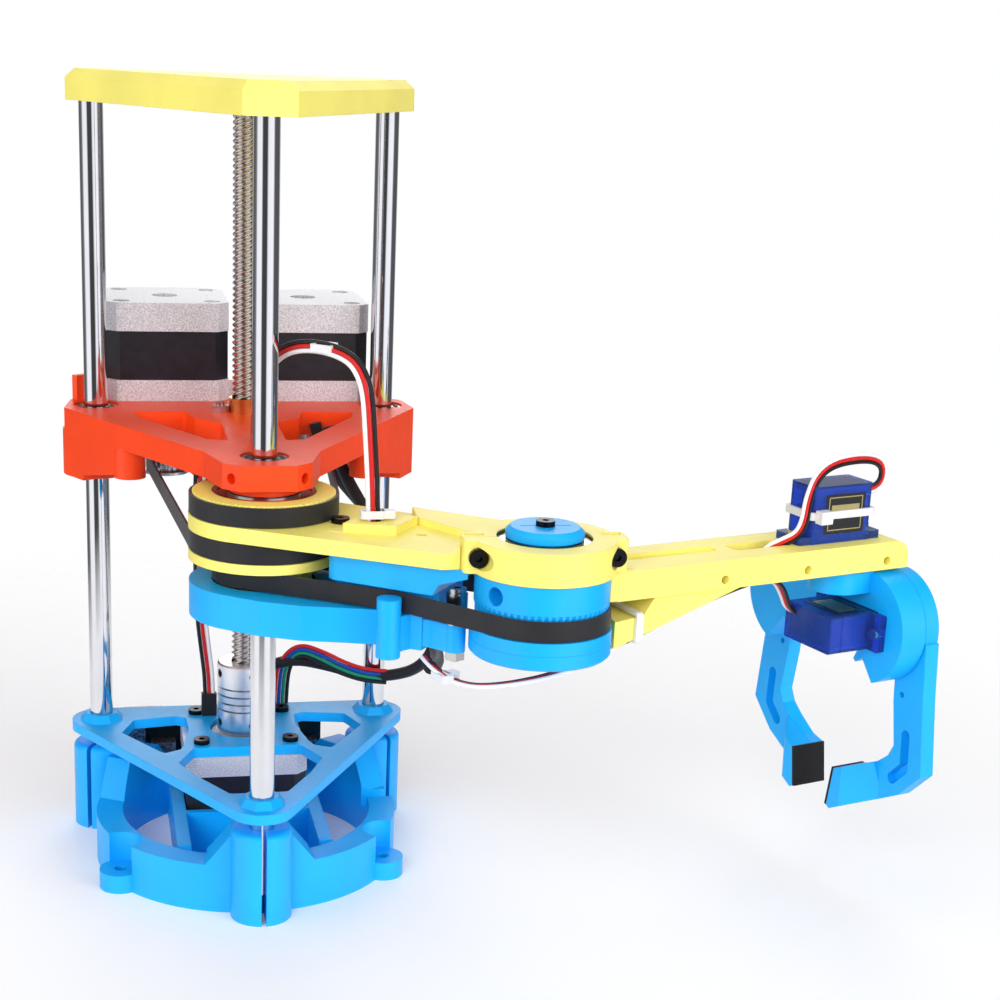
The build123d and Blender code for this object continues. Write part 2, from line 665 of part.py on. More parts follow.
lug_reach = 24.2
lug_screw = 20.3
clamp_cut = [(-lug_reach - 0.4, -45), (45, -45), (45, 0.15), (-lug_reach - 0.4, 0.15)]
elbow_plane = flat(elbow_x, elbow_y, 0, clamp_angle)
link_holes = (flange_r + 3.3, stretch(54.0))
with BuildPart() as upper_arm:
    disc(link(0, 0, arm_low), flange_r, arm_t)
    disc(link(link_len, 0, arm_low), 21.2, ring_top - arm_low)
    slab(link(0, 0, arm_low), on_link([(1.5, flange_r - 0.05), (68.5, 17.2), (72, 14.5), (drawn_len, 0),
                                       (drawn_len, -21.2), (-1.5, -flange_r + 0.05)]), arm_t)
    disc(link(0, 0, arm_top), wheel_r, stack_top - arm_top)
    belt_teeth(link(0, 0, arm_top), wheel_r, wheel_teeth, stack_top - arm_top)
    slab(link(0, 0, arm_top), on_link([(47, -11), (70, -2), (72.5, 8), (72, 14.5), (drawn_len, 0),
                                       (drawn_len, -21.2), (40, -22)]), 2.2)
    slab(link(0, 0, arm_top), on_link([(32.5, 10), (47.7, 4.7), (47.7, -10), (36, -9), (32.5, -1)]), 2.7)
    block(elbow_plane.offset(arm_low), 2 * lug_reach, 10, ring_top - arm_low, corner=2)
    slab(elbow_plane.offset(arm_low - 1), clamp_cut, 30, mode=Mode.SUBTRACT)
    disc(link(0, 0, arm_low - 1), 14, 30, mode=Mode.SUBTRACT)
    disc(link(0, 0, upper_bearing_low), bearing_outer + running_gap, 20, mode=Mode.SUBTRACT)
    disc(link(link_len, 0, arm_low - 1), 14, 20, mode=Mode.SUBTRACT)
    disc(link(link_len, 0, elbow_bearing_low), bearing_outer + running_gap, bearing_w + 0.02,
         mode=Mode.SUBTRACT)
    for n in link_holes:
        disc(link(n, 0, arm_low - 1), 1.6, 20, mode=Mode.SUBTRACT)
    disc(link(stretch(38.5), 1.5, arm_low - 1), 2.3, 20, mode=Mode.SUBTRACT)
    block(link(31.7, 10.6, arm_top - 1.4), 6, 1.6, 4, mode=Mode.SUBTRACT)
    for side in (-lug_screw, lug_screw):
        across = Plane(origin=elbow_plane.offset((arm_low + ring_top) / 2).origin,
                       x_dir=elbow_plane.x_dir, z_dir=-elbow_plane.y_dir)
        with BuildSketch(across) as face:
            with Locations((side, 0)):
                Circle(1.6)
        extrude(face.sketch, amount=-9, mode=Mode.SUBTRACT)
        with BuildSketch(elbow_plane.offset((arm_low + ring_top) / 2 - 3.2)) as face:
            with Locations((side, 2.9)):
                Rectangle(5.7, 2.6)
        extrude(face.sketch, amount=20, mode=Mode.SUBTRACT)
save(upper_arm.part, "upper_arm")

with BuildPart() as elbow_clamp:
    disc(link(link_len, 0, arm_low), 21.2, ring_top - arm_low)
    block(elbow_plane.offset(arm_low), 2 * lug_reach, 10, ring_top - arm_low, corner=2)
    slab(elbow_plane.offset(arm_low - 1), [(-50, -0.15), (-50, 50), (50, 50), (50, -0.15)], 30,
         mode=Mode.SUBTRACT)
    disc(link(link_len, 0, arm_low - 1), 14, 20, mode=Mode.SUBTRACT)
    disc(link(link_len, 0, elbow_bearing_low), bearing_outer + running_gap, bearing_w + 0.02,
         mode=Mode.SUBTRACT)
    for side in (-lug_screw, lug_screw):
        across = Plane(origin=elbow_plane.offset((arm_low + ring_top) / 2).origin,
                       x_dir=elbow_plane.x_dir, z_dir=-elbow_plane.y_dir)
        with BuildSketch(across) as face:
            with Locations((side, 0)):
                Circle(1.6)
        extrude(face.sketch, amount=9, mode=Mode.SUBTRACT)
        with BuildSketch(across.offset(5)) as face:
            with Locations((side, 0)):
                Circle(3.2)
        extrude(face.sketch, amount=9, mode=Mode.SUBTRACT)
save(elbow_clamp.part, "elbow_clamp")

with BuildPart() as link_screws:
    button_head(link(link_holes[0], 0, arm_top), arm_t - 0.4)
    disc(link(link_holes[1], 0, arm_low - 7), 1.45, arm_t + 5)
    for side in (-lug_screw, lug_screw):
        x, y = polar(side, clamp_angle, elbow_x, elbow_y)
        x, y = polar(5, clamp_angle - 90, x, y)
        tx, ty = polar(1, clamp_angle)
        fx, fy = polar(1, clamp_angle - 90)
        head = Plane(origin=(x, y, (arm_low + ring_top) / 2), x_dir=(tx, ty, 0), z_dir=(fx, fy, 0))
        button_head(head, 9.5)
        with BuildSketch(head.offset(-9.1)) as face:
            RegularPolygon(3.1, 6, rotation=30)
        extrude(face.sketch, amount=2.3)
save(link_screws.part, "link_screws")

column = [(30, 8.5), (64, 8.5), (64, -8.5), (30, -8.5)]
pad = [(28.5, 13.5), (90, 13.5), (90, -13.5), (28.5, -13.5)]
lower_outline = [(-2, 23), (12, 23.4), (25, 21), (36, 16.4), (47, 12.4), (60, 11), (60, -5), (47, -12.4),
                 (36, -16.4), (25, -21), (12, -23.4), (-2, -23)]
column_top = elbow_zone_top + 0.5
with BuildPart() as lower_arm:
    disc(link(0, 0, lower_low), 23, lower_t)
    slab(link(0, 0, lower_low), on_link(lower_outline), lower_t)
    disc(link(peg_n, peg_m, lower_low - 1.9), peg_r, belt_three_top - 1.2 - lower_low + 1.9)
    slab(link(0, 0, lower_low), on_link([(46, 12), (49, 18), (54, 18), (57, 10)]), lower_t)
    slab(link(0, 0, lower_low + 1.1), on_link([(56, 11), (62, 10.2)])
         + [(idler_n + 0.4, -idler_m - 2.98), (idler_n + 0.4, -idler_m + 2.98)]
         + on_link([(60, 2), (52, 0)]), lower_t - 2.3)
    disc(link(idler_n, idler_m, lower_low + 1.1), 3, lower_t - 2.3)
    slab(link(0, 0, lower_top - 1), on_link(column), column_top - lower_top + 1)
    with BuildSketch(link(0, 0, column_top)) as face:
        with BuildLine():
            Polyline(*on_link(pad), close=True)
        make_face()
        fillet(face.vertices(), 4)
        with Locations((link_len, 0)):
            Circle(clear_r, mode=Mode.SUBTRACT)
    extrude(face.sketch, amount=arm_low - column_top)
    rise = Plane(origin=link(0, 20, 0).origin, x_dir=link(0, 0, 0).x_dir, z_dir=link(0, 0, 0).y_dir)
    slab(rise, [(stretch(64.01), -column_top + 0.1), (stretch(66), -column_top - 3.5),
                (stretch(78), -column_top - 7.5), (stretch(90), -column_top - 7.5),
                (stretch(90), -column_top + 0.1)], 40, mode=Mode.SUBTRACT)
    disc(link(0, 0, lower_bearing_low), bearing_outer + running_gap, 20, mode=Mode.SUBTRACT)
    disc(link(0, 0, lower_low - 1), 14, 20, mode=Mode.SUBTRACT)
    for n in link_holes:
        if n > 28.5:
            disc(link(n, 0, arm_low - 12), 1.5, 20, mode=Mode.SUBTRACT)
    disc(link(idler_n, idler_m, lower_low - 1), 1.5, 20, mode=Mode.SUBTRACT)
save(lower_arm.part, "lower_arm")

with BuildPart() as idler:
    nut_low = lower_low + 1.1 - 2.4
    top = elbow_zone_top + 1.2
    with BuildSketch(link(idler_n, idler_m, nut_low)) as face:
        RegularPolygon(3.1, 6)
    extrude(face.sketch, amount=2.4)
    disc(link(idler_n, idler_m, nut_low - 0.6), 1.45, top - nut_low + 0.6)
    ring(link(idler_n, idler_m, lower_top - 1.2), 3.25, 1.45, top - lower_top + 1.2)
    button_head(link(idler_n, idler_m, top), 1)
save(idler.part, "idler_screw")

with BuildPart() as link_bearings:
    for spot, low in ((0, upper_bearing_low), (0, lower_bearing_low), (link_len, elbow_bearing_low)):
        ball_bearing(link(spot, 0, low), tube_r + running_gap, bearing_outer, bearing_w)
save(link_bearings.part, "link_bearings")
with BuildPart() as double_bearing:
    ball_bearing(link(0, 0, double_bearing_low), tube_r + running_gap, bearing_outer, bearing_w)
save(double_bearing.part, "double_wheel_bearing")

with BuildPart() as double_wheel:
    disc(link(0, 0, double_low), drum_r, double_flange_low - double_low)
    belt_teeth(link(0, 0, double_low), drum_r, drum_teeth, double_flange_low - double_low)
    disc(link(0, 0, double_flange_low), flange_r, double_flange_top - double_flange_low)
    disc(link(0, 0, double_flange_top), wheel_r, double_top - double_flange_top)
    belt_teeth(link(0, 0, double_flange_top), wheel_r, wheel_teeth, double_top - double_flange_top)
    disc(link(0, 0, double_low - 1), 11.7, 20, mode=Mode.SUBTRACT)
    disc(link(0, 0, double_bearing_low), bearing_outer + running_gap, 20, mode=Mode.SUBTRACT)
save(double_wheel.part, "double_wheel")

# Elbow wheel with its foot, hub and cap
with BuildPart() as elbow_foot:
    disc(link(link_len, 0, elbow_flange_low), elbow_flange_r, elbow_seam - elbow_flange_low)
    chamfer(elbow_foot.edges().group_by(Axis.Z)[0], 0.8)
save(elbow_foot.part, "elbow_foot")
access = polar(1, -146.0)
with BuildPart() as elbow_wheel:
    disc(link(link_len, 0, elbow_seam), elbow_flange_r, elbow_flange_top - elbow_seam)
    disc(link(link_len, 0, elbow_flange_top), elbow_wheel_r, elbow_zone_top - elbow_flange_top)
    disc(link(link_len, 0, elbow_zone_top), elbow_body_r, elbow_wheel_top - elbow_zone_top)
    belt_teeth(link(link_len, 0, elbow_flange_top), elbow_wheel_r, elbow_teeth,
               elbow_zone_top - elbow_flange_top)
    belt_teeth(link(link_len, 0, elbow_zone_top - 0.1), elbow_body_r, elbow_teeth, 1.1)
    disc(link(link_len, 0, elbow_wheel_top), tube_r, elbow_top - elbow_wheel_top)
    radial = Plane(origin=(elbow_x, elbow_y, elbow_wheel_top - 4.6), x_dir=(0, 0, 1),
                   z_dir=(access[0], access[1], 0))
    disc(radial.offset(10), 2.75, 15, mode=Mode.SUBTRACT)
    disc(link(link_len, 0, elbow_top - 14), 1.5, 20, mode=Mode.SUBTRACT)
save(elbow_wheel.part, "elbow_wheel")

with BuildPart() as elbow_cap:
    disc(link(link_len, 0, elbow_top), 11.5, 3.2)
    chamfer(elbow_cap.edges().group_by(Axis.Z)[-1], 1.4)
    disc(link(link_len, 0, elbow_top - 1), 1.6, 20, mode=Mode.SUBTRACT)
    block(flat(elbow_x, elbow_y, elbow_top + 2.6, clamp_angle), 15, 0.6, 3, mode=Mode.SUBTRACT)
    x, y = polar(5.2, -100, elbow_x, elbow_y)
    disc(flat(x, y, elbow_top + 1.2), 0.9, 3, mode=Mode.SUBTRACT)
save(elbow_cap.part, "elbow_cap")
with BuildPart() as cap_screw:
    button_head(link(link_len, 0, elbow_top + 3.2), 14)
save(cap_screw.part, "elbow_cap_screw")


# Forearm: x along it from the elbow, y to its left
def fore(along, left, z):
    x, y = polar(along, fore_angle, elbow_x, elbow_y)
    x, y = polar(left, fore_angle + 90, x, y)
    return flat(x, y, z, fore_angle)


def fore_side(left):
    # Standing plane: x along the forearm, y up
    x, y = polar(left, fore_angle + 90, elbow_x, elbow_y)
    ax, ay = polar(1, fore_angle)
    nx, ny = polar(1, fore_angle - 90)
    return Plane(origin=(x, y, 0), x_dir=(ax, ay, 0), z_dir=(nx, ny, 0))


def fore_face(along):
    # Plane across the forearm: x to the left, y up
    x, y = polar(along, fore_angle, elbow_x, elbow_y)
    lx, ly = polar(1, fore_angle + 90)
    ax, ay = polar(1, fore_angle)
    return Plane(origin=(x, y, 0), x_dir=(lx, ly, 0), z_dir=(ax, ay, 0))


beam_w = beam_left - beam_right
servo_mid = wrist_along - servo_shaft_off
brace = [(12, elbow_flange_low + 0.3), (21.9, elbow_flange_low + 0.3), (68, beam_low), (35, beam_low),
         (31, elbow_flange_top + 0.9), (22, elbow_flange_top), (12, elbow_flange_top)]
round_r = 5.0
with BuildPart() as forearm:
    with BuildSketch(fore_side(beam_left)) as face:
        with BuildLine():
            Line((12, beam_low), (beam_end, beam_low))
            Line((beam_end, beam_low), (beam_end, beam_top - round_r))
            ThreePointArc((beam_end, beam_top - round_r),
                          (beam_end - round_r * 0.293, beam_top - round_r * 0.293),
                          (beam_end - round_r, beam_top))
            Line((beam_end - round_r, beam_top), (12, beam_top))
            Line((12, beam_top), (12, beam_low))
        make_face()
    extrude(face.sketch, amount=beam_w)
    slab(fore_side(beam_left - 2), brace, beam_w - 4)
    disc(link(link_len, 0, elbow_flange_low - 1), clear_r, elbow_flange_top - elbow_flange_low + 1 + 7,
         mode=Mode.SUBTRACT)
    disc(link(link_len, 0, elbow_flange_low - 1), elbow_body_r + running_gap, 40, mode=Mode.SUBTRACT)
    block(fore(servo_mid, wrist_left, beam_low - 1), servo_l + 0.5, servo_w + 0.4, 20, mode=Mode.SUBTRACT)
    block(fore(78, wrist_left, beam_low - 1), 19, 7, 20, corner=2, mode=Mode.SUBTRACT)
    block(fore(43.5, wrist_left + 1.5, beam_top - 1.2), 39, 5, 3, corner=1, mode=Mode.SUBTRACT)
    slab(fore(0, 0, beam_top - 1.6), [(20, -4), (27, -7.4), (20, -7.4)], 3, mode=Mode.SUBTRACT)
    for along in (58.5, 90.0, 121.5):
        x, y = polar(along, fore_angle, elbow_x, elbow_y)
        x, y = polar(beam_left + 1, fore_angle + 90, x, y)
        nx, ny = polar(1, fore_angle - 90)
        across = Plane(origin=(x, y, beam_low + 2.9), x_dir=(0, 0, 1), z_dir=(nx, ny, 0))
        disc(across.offset(beam_w - 4), 1.35, 8, mode=Mode.SUBTRACT)
    for side in (-13.9, 13.9):
        disc(fore(servo_mid + side, wrist_left, beam_low + 1), 0.9, 20, mode=Mode.SUBTRACT)
save(forearm.part, "forearm")


# Small servo: the plane lies on the flange's output side, its normal along the shaft
def servo(prefix, plane):
    # x runs along the case, the shaft lies at x = 0
    depth = servo_flange_at + servo_flange_t
    rise = servo_h - depth
    with BuildPart() as case:
        with BuildSketch(plane.offset(-depth)) as face:
            with Locations((-servo_shaft_off, 0)):
                Rectangle(servo_l, servo_w)
            fillet(face.vertices(), 0.8)
        extrude(face.sketch, amount=servo_h)
        with BuildSketch(plane.offset(-servo_flange_t)) as face:
            with Locations((-servo_shaft_off, 0)):
                Rectangle(servo_flange_l, servo_w - 0.1)
            fillet(face.vertices(), 0.8)
            with Locations((-servo_shaft_off - 13.9, 0), (-servo_shaft_off + 13.9, 0)):
                Circle(1.1, mode=Mode.SUBTRACT)
        extrude(face.sketch, amount=servo_flange_t)
        disc(plane.offset(rise), servo_bump_r, servo_bump_h)
        with BuildSketch(plane.offset(rise)) as face:
            with Locations((-6.2, 0)):
                Circle(2.8)
        extrude(face.sketch, amount=servo_bump_h)
        with BuildSketch(plane.offset(-depth + 1)) as face:
            with Locations((-servo_shaft_off, 0)):
                Rectangle(servo_l - 2, servo_w - 2)
        extrude(face.sketch, amount=servo_h - 2, mode=Mode.SUBTRACT)
        for seam in (4.4, servo_flange_at + servo_flange_t + 0.9):
            with BuildSketch(plane.offset(-depth + seam)) as face:
                with Locations((-servo_shaft_off, 0)):
                    Rectangle(servo_l + 1, servo_w + 1)
                    Rectangle(servo_l - 0.5, servo_w - 0.5, mode=Mode.SUBTRACT)
            extrude(face.sketch, amount=0.3, mode=Mode.SUBTRACT)
    save(case.part, prefix + "_servo_case")
    with BuildPart() as core:
        with BuildSketch(plane.offset(-depth + 1)) as face:
            with Locations((-servo_shaft_off, 0)):
                Rectangle(servo_l - 2.4, servo_w - 2.4)
        extrude(face.sketch, amount=1.6)
        with BuildSketch(plane.offset(-depth + 2.6)) as face:
            with Locations((-servo_shaft_off - 5.4, 0)):
                Circle(4.7)
        extrude(face.sketch, amount=12)
        with BuildSketch(plane.offset(-depth + 2.6)) as face:
            with Locations((-0.4, 0)):
                Rectangle(9, 9)
        extrude(face.sketch, amount=13)
        with BuildSketch(plane.offset(rise - 4.4)) as face:
            with Locations((-servo_shaft_off, 0)):
                Rectangle(servo_l - 4, servo_w - 4)
        extrude(face.sketch, amount=3.2)
    save(core.part, prefix + "_servo_core")
    with BuildPart() as screws:
        for side in (-13.9, 13.9):
            with BuildSketch(plane.offset(-servo_flange_t)) as face:
                with Locations((-servo_shaft_off + side, 0)):
                    Circle(2)
            extrude(face.sketch, amount=-1.3)
            with BuildSketch(plane.offset(-servo_flange_t)) as face:
                with Locations((-servo_shaft_off + side, 0)):
                    Circle(0.85)
            extrude(face.sketch, amount=servo_flange_t + 4.5)
    save(screws.part, prefix + "_servo_screws")


ux, uy = polar(1, fore_angle)
wrist_plane = Plane(origin=fore(wrist_along, wrist_left, beam_top).origin, x_dir=(ux, uy, 0),
                    z_dir=(0, 0, -1))
servo("wrist", wrist_plane)


def tie_loop(plane, length, width, head_x, head_y, wide):
    with BuildSketch(plane) as face:
        Rectangle(length + 2.2, width + 2.2)
        fillet(face.vertices(), 1.4)
        Rectangle(length, width, mode=Mode.SUBTRACT)
    extrude(face.sketch, amount=wide)
    with BuildSketch(plane.offset(-0.8)) as face:
        with Locations((head_x, head_y)):
            Rectangle(4.4, 3.2)
    extrude(face.sketch, amount=wide + 1.6)


brace_low = elbow_flange_low + 2.1
brace_high = elbow_flange_top + 1.1
tie_centre = fore_face(28)
tie_plane = Plane(origin=tie_centre.origin + Vector(0, 0, (brace_low + brace_high) / 2)
                  + tie_centre.x_dir * ((beam_left + beam_right) / 2),
                  x_dir=tie_centre.x_dir, z_dir=tie_centre.z_dir)
with BuildPart() as forearm_ties:
    tie_loop(fore(servo_mid, wrist_left, beam_top + 8), servo_l + 0.1, servo_w + 0.1,
             -servo_l / 2 + 2.4, -servo_w / 2 - 2.4, 2.4)
    tie_loop(tie_plane, beam_w - 3.9, brace_high - brace_low, 6, -6.3, 2.4)
save(forearm_ties.part, "forearm_ties")

# Gripper palm hanging from the wrist servo's shaft
wrist_x, wrist_y = polar(wrist_along, fore_angle, elbow_x, elbow_y)
wrist_x, wrist_y = polar(wrist_left, fore_angle + 90, wrist_x, wrist_y)
palm_top = beam_low - 1.2
right_pivot = grip_mid - pivot_pitch / 2
left_pivot = grip_mid + pivot_pitch / 2
palm_edge = [(right_pivot - 6.6, pivot_z - 17.5), (right_pivot + 0.6, pivot_z - 8.6),
             (left_pivot - 0.6, pivot_z - 8.6), (left_pivot + 6.6, pivot_z - 17.5),
             (left_pivot + lobe_r - 0.5, pivot_z), (left_pivot, pivot_z + lobe_r - 0.2),
             (right_pivot, pivot_z + lobe_r - 0.2), (right_pivot - lobe_r + 0.5, pivot_z)]
with BuildPart() as palm:
    with BuildSketch(fore_face(palm_face)) as face:
        for pivot in (right_pivot, left_pivot):
            with Locations((pivot, pivot_z)):
                Circle(lobe_r)
        with BuildLine():
            Polyline((right_pivot - 30, pivot_z - 30), (right_pivot - 6.6, pivot_z - 17.5),
                     (right_pivot + 0.6, pivot_z - 8.6), (left_pivot - 0.6, pivot_z - 8.6),
                     (left_pivot + 6.6, pivot_z - 17.5), (left_pivot + 30, pivot_z - 30), close=True)
        make_face(mode=Mode.SUBTRACT)
        with BuildLine():
            Polyline(*palm_edge, close=True)
        make_face()
    extrude(face.sketch, amount=palm_t)
    bracket_low = palm_top - 7
    disc(fore(wrist_along, wrist_left, bracket_low), 9, 7)
    slab(fore(0, 0, bracket_low), [(wrist_along, wrist_left - 9), (palm_face + 2, wrist_left - 9),
                                   (palm_face + 2, wrist_left + 18), (wrist_along + 1, wrist_left + 9),
                                   (wrist_along, wrist_left + 9)], 7)
    block(fore(servo_mid, wrist_left, palm_top - 0.5), servo_l + 2, servo_w + 2, 3, mode=Mode.SUBTRACT)
    disc(fore(wrist_along, wrist_left, bracket_low - 1), servo_shaft_r + 0.05, 12, mode=Mode.SUBTRACT)
    with BuildSketch(fore_face(palm_face - 1)) as face:
        with Locations((right_pivot + servo_shaft_off, pivot_z)):
            Rectangle(servo_l + 0.5, servo_w + 0.4)
    extrude(face.sketch, amount=palm_t + 2, mode=Mode.SUBTRACT)
    with BuildSketch(fore_face(palm_face + 2)) as face:
        with Locations((left_pivot, pivot_z)):
            Circle(pin_r + 0.02)
    extrude(face.sketch, amount=palm_t, mode=Mode.SUBTRACT)
    with BuildSketch(fore_face(palm_face - 1)) as face:
        with Locations((right_pivot + servo_shaft_off - 13.9, pivot_z),
                       (right_pivot + servo_shaft_off + 13.9, pivot_z)):
            Circle(0.9)
    extrude(face.sketch, amount=7, mode=Mode.SUBTRACT)
save(palm.part, "gripper_palm")

with BuildPart() as wrist_shaft:
    shaft_low = palm_top - 7
    disc(fore(wrist_along, wrist_left, shaft_low), servo_shaft_r,
         beam_top - (servo_h - servo_flange_at - servo_flange_t) - servo_bump_h - 0.1 - shaft_low)
save(wrist_shaft.part, "wrist_shaft")

lx, ly = polar(1, fore_angle + 90)
right_spot = fore_face(palm_face).origin + Vector(lx, ly, 0) * right_pivot + Vector(0, 0, pivot_z)
grip_plane = Plane(origin=right_spot, x_dir=(-lx, -ly, 0), z_dir=(ux, uy, 0))
servo("grip", grip_plane)

# Jaws, drawn looking along the forearm; the left one mirrors the right one
jaw_low = palm_face + palm_t + jaw_gap
tip_reach = 8.0
arm_shape = [(4.7, 102), (23.7, 99.7), (24.9, 81.9), (27.7, 56.2), (17.9, 46.5), (10.5, 42.6),
             (-5.3, 34.4), (-6.8, 35.2), (-4.8, 49.1), (0.2, 50.3), (7.2, 54.7), (11.8, 58.4),
             (14.0, 62.6), (11.6, 77.5), (11.2, 84.2)]
tip_shape = [(-4.8, 49.1), (7.2, 54.7), (10.5, 42.6), (-5.3, 34.4), (-6.8, 35.2)]
slot_bends = [(19.0, 67.5), (19.6, 56.5), (14.6, 51.5)]


def jaw_points(points, hand):
    # The right jaw's widths were read to the right of the elbow line
    if hand < 0:
        return [(-b, z) for b, z in points]
    return [(2 * grip_mid + b, z) for b, z in points]


gear_teeth = 23
gear_r = pivot_pitch / 2
hub_r = gear_r - 2.3


def gear_tooth(pivot, toward, step):
    # Corners of a tooth of the gears that make the jaws turn together
    turn = math.radians(step * 360 / gear_teeth)
    ax, az = toward * math.cos(turn), math.sin(turn)
    corners = ((hub_r - 0.5, 1.75), (gear_r + 1.3, 0.7), (gear_r + 1.3, -0.7), (hub_r - 0.5, -1.75))
    return [(pivot + ax * r - az * side, pivot_z + az * r + ax * side) for r, side in corners]


pad_t = 1.0
for name, hand, pivot in (("right", -1, right_pivot), ("left", 1, left_pivot)):
    hole = servo_shaft_r + 0.02 if hand < 0 else pin_r + running_gap
    with BuildPart() as jaw:
        with BuildSketch(fore_face(jaw_low)) as face:
            with BuildLine():
                Polyline(*jaw_points(arm_shape, hand), close=True)
            make_face()
            with Locations((pivot, pivot_z)):
                Circle(hub_r)
            for step in range(-3, 4):
                with BuildLine():
                    Polyline(*gear_tooth(pivot, -hand, step + hand / 4), close=True)
                make_face()
        extrude(face.sketch, amount=jaw_t)
        slab(fore_face(jaw_low - tip_reach), jaw_points(tip_shape, hand), tip_reach)
        wedge = [(jaw_low - b_along, b) for b_along, b in ((0, 9.2), (tip_reach + 1, -2.2),
                                                           (tip_reach + 1, 50), (0, 50))]
        slab(fore(0, 0, 20), [(along, jaw_points([(b, 0)], hand)[0][0]) for along, b in wedge], 50,
             mode=Mode.SUBTRACT)
        with BuildSketch(fore_face(jaw_low - 1)) as face:
            with Locations((pivot, pivot_z)):
                Circle(hole)
            with Locations(*jaw_points([(15.2, 80.5)], hand)):
                Circle(1.0)
        extrude(face.sketch, amount=jaw_t + 2, mode=Mode.SUBTRACT)
        bends = jaw_points(slot_bends, hand)
        for first, second in ((bends[0], bends[1]), (bends[1], bends[2])):
            slot(fore_face(jaw_low - 1), first, second, 1.9, jaw_t - 0.8, mode=Mode.SUBTRACT)
    save(jaw.part, name + "_jaw")
    low_b, low_z = jaw_points([(-6.8, 35.2)], hand)[0]
    high_b, high_z = jaw_points([(-4.8, 49.1)], hand)[0]
    lean = math.hypot(high_b - low_b, high_z - low_z)
    ox, oz = -hand * (high_z - low_z) / lean * pad_t, -hand * -(high_b - low_b) / lean * pad_t
    with BuildPart() as pad_part:
        slab(fore_face(jaw_low - tip_reach), [(low_b, low_z), (high_b, high_z), (high_b + ox, high_z + oz),
                                              (low_b + ox, low_z + oz)], tip_reach + jaw_t)
    save(pad_part.part, name + "_pad")

jaw_high = jaw_low + jaw_t
with BuildPart() as grip_shaft:
    start = palm_face + servo_h - servo_flange_at - servo_flange_t + servo_bump_h + 0.1
    with BuildSketch(fore_face(start)) as face:
        with Locations((right_pivot, pivot_z)):
            Circle(servo_shaft_r)
    extrude(face.sketch, amount=jaw_high - start)
    with BuildSketch(fore_face(jaw_high)) as face:
        with Locations((right_pivot, pivot_z)):
            Circle(3)
            RegularPolygon(1.2, 6, mode=Mode.SUBTRACT)
    extrude(face.sketch, amount=1.4)
save(grip_shaft.part, "grip_shaft")

with BuildPart() as jaw_pin:
    with BuildSketch(fore_face(palm_face + 2.1)) as face:
        with Locations((left_pivot, pivot_z)):
            Circle(pin_r)
    extrude(face.sketch, amount=jaw_high + 0.3 - palm_face - 2.1)
    with BuildSketch(fore_face(jaw_high + 0.3)) as face:
        with Locations((left_pivot, pivot_z)):
            Circle(4.2)
    extrude(face.sketch, amount=1.4)
save(jaw_pin.part, "jaw_pin")

# Electronics board standing in the slot of the ring behind the motor
board_low = ring_h - 2.5
board_face = board_y - board_t / 2
with BuildPart() as board:
    slab(Plane.XY.offset(board_low), [(-41, board_face), (32, board_face), (32, board_face + board_t),
                                      (-41, board_face + board_t)], 34 - board_low)
save(board.part, "control_board")
board_boxes = [(-34, 34, 14, 3.6, 7), (-27, 22, 9, 6, 6), (-36.5, 26, 6, 4, 8), (-8, 29, 9, 2.5, 5),
               (18, 24, 6, 7, 12), (27, 20, 6, 5, 7), (6, 24, 14, 2.5, 9)]
with BuildPart() as board_parts:
    for x, z, long_x, deep, high in board_boxes:
        slab(Plane.XY.offset(z - high / 2), [(x - long_x / 2, board_face), (x + long_x / 2, board_face),
                                             (x + long_x / 2, board_face - deep),
                                             (x - long_x / 2, board_face - deep)], high)
save(board_parts.part, "board_parts")
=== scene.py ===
import json
import math

import bpy
from mathutils import Matrix, Vector


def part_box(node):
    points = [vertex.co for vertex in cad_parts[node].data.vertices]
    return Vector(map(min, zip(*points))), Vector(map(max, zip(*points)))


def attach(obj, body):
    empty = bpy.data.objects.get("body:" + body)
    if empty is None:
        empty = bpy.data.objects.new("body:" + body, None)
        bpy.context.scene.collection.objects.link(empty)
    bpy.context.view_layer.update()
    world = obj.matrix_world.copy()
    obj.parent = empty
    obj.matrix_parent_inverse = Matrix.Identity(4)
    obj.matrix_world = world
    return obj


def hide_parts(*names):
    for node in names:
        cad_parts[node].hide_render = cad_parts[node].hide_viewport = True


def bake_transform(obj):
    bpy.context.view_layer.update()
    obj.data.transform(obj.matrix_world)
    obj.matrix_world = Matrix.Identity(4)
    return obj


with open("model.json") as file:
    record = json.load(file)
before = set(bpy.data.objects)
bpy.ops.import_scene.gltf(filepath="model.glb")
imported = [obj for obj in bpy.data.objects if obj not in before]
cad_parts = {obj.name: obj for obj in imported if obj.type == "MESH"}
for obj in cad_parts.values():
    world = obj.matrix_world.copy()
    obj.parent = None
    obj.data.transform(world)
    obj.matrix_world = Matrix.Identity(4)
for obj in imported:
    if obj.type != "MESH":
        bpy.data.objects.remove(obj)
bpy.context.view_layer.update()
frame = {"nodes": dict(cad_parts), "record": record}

nodes = frame["nodes"]
mm = 0.001


# Camera at the photograph's viewing angle
def aim_camera():
    camera = bpy.data.cameras.new("camera")
    camera.sensor_width = 36.0
    camera.lens = 67.4
    camera.shift_x = 0.0284
    camera.shift_y = 0.1112
    camera.clip_start = 0.01
    camera.clip_end = 20.0
    holder = bpy.data.objects.new("camera", camera)
    bpy.context.scene.collection.objects.link(holder)
    yaw, pitch, roll = math.radians(12.31), math.radians(16.63), math.radians(2.34)
    turn = (Matrix.Rotation(-yaw, 4, "Z") @ Matrix.Rotation(math.pi / 2 - pitch, 4, "X")
            @ Matrix.Rotation(roll, 4, "Z"))
    holder.matrix_world = Matrix.Translation((-0.0559, -0.6185, 0.2740)) @ turn
    bpy.context.scene.camera = holder


aim_camera()


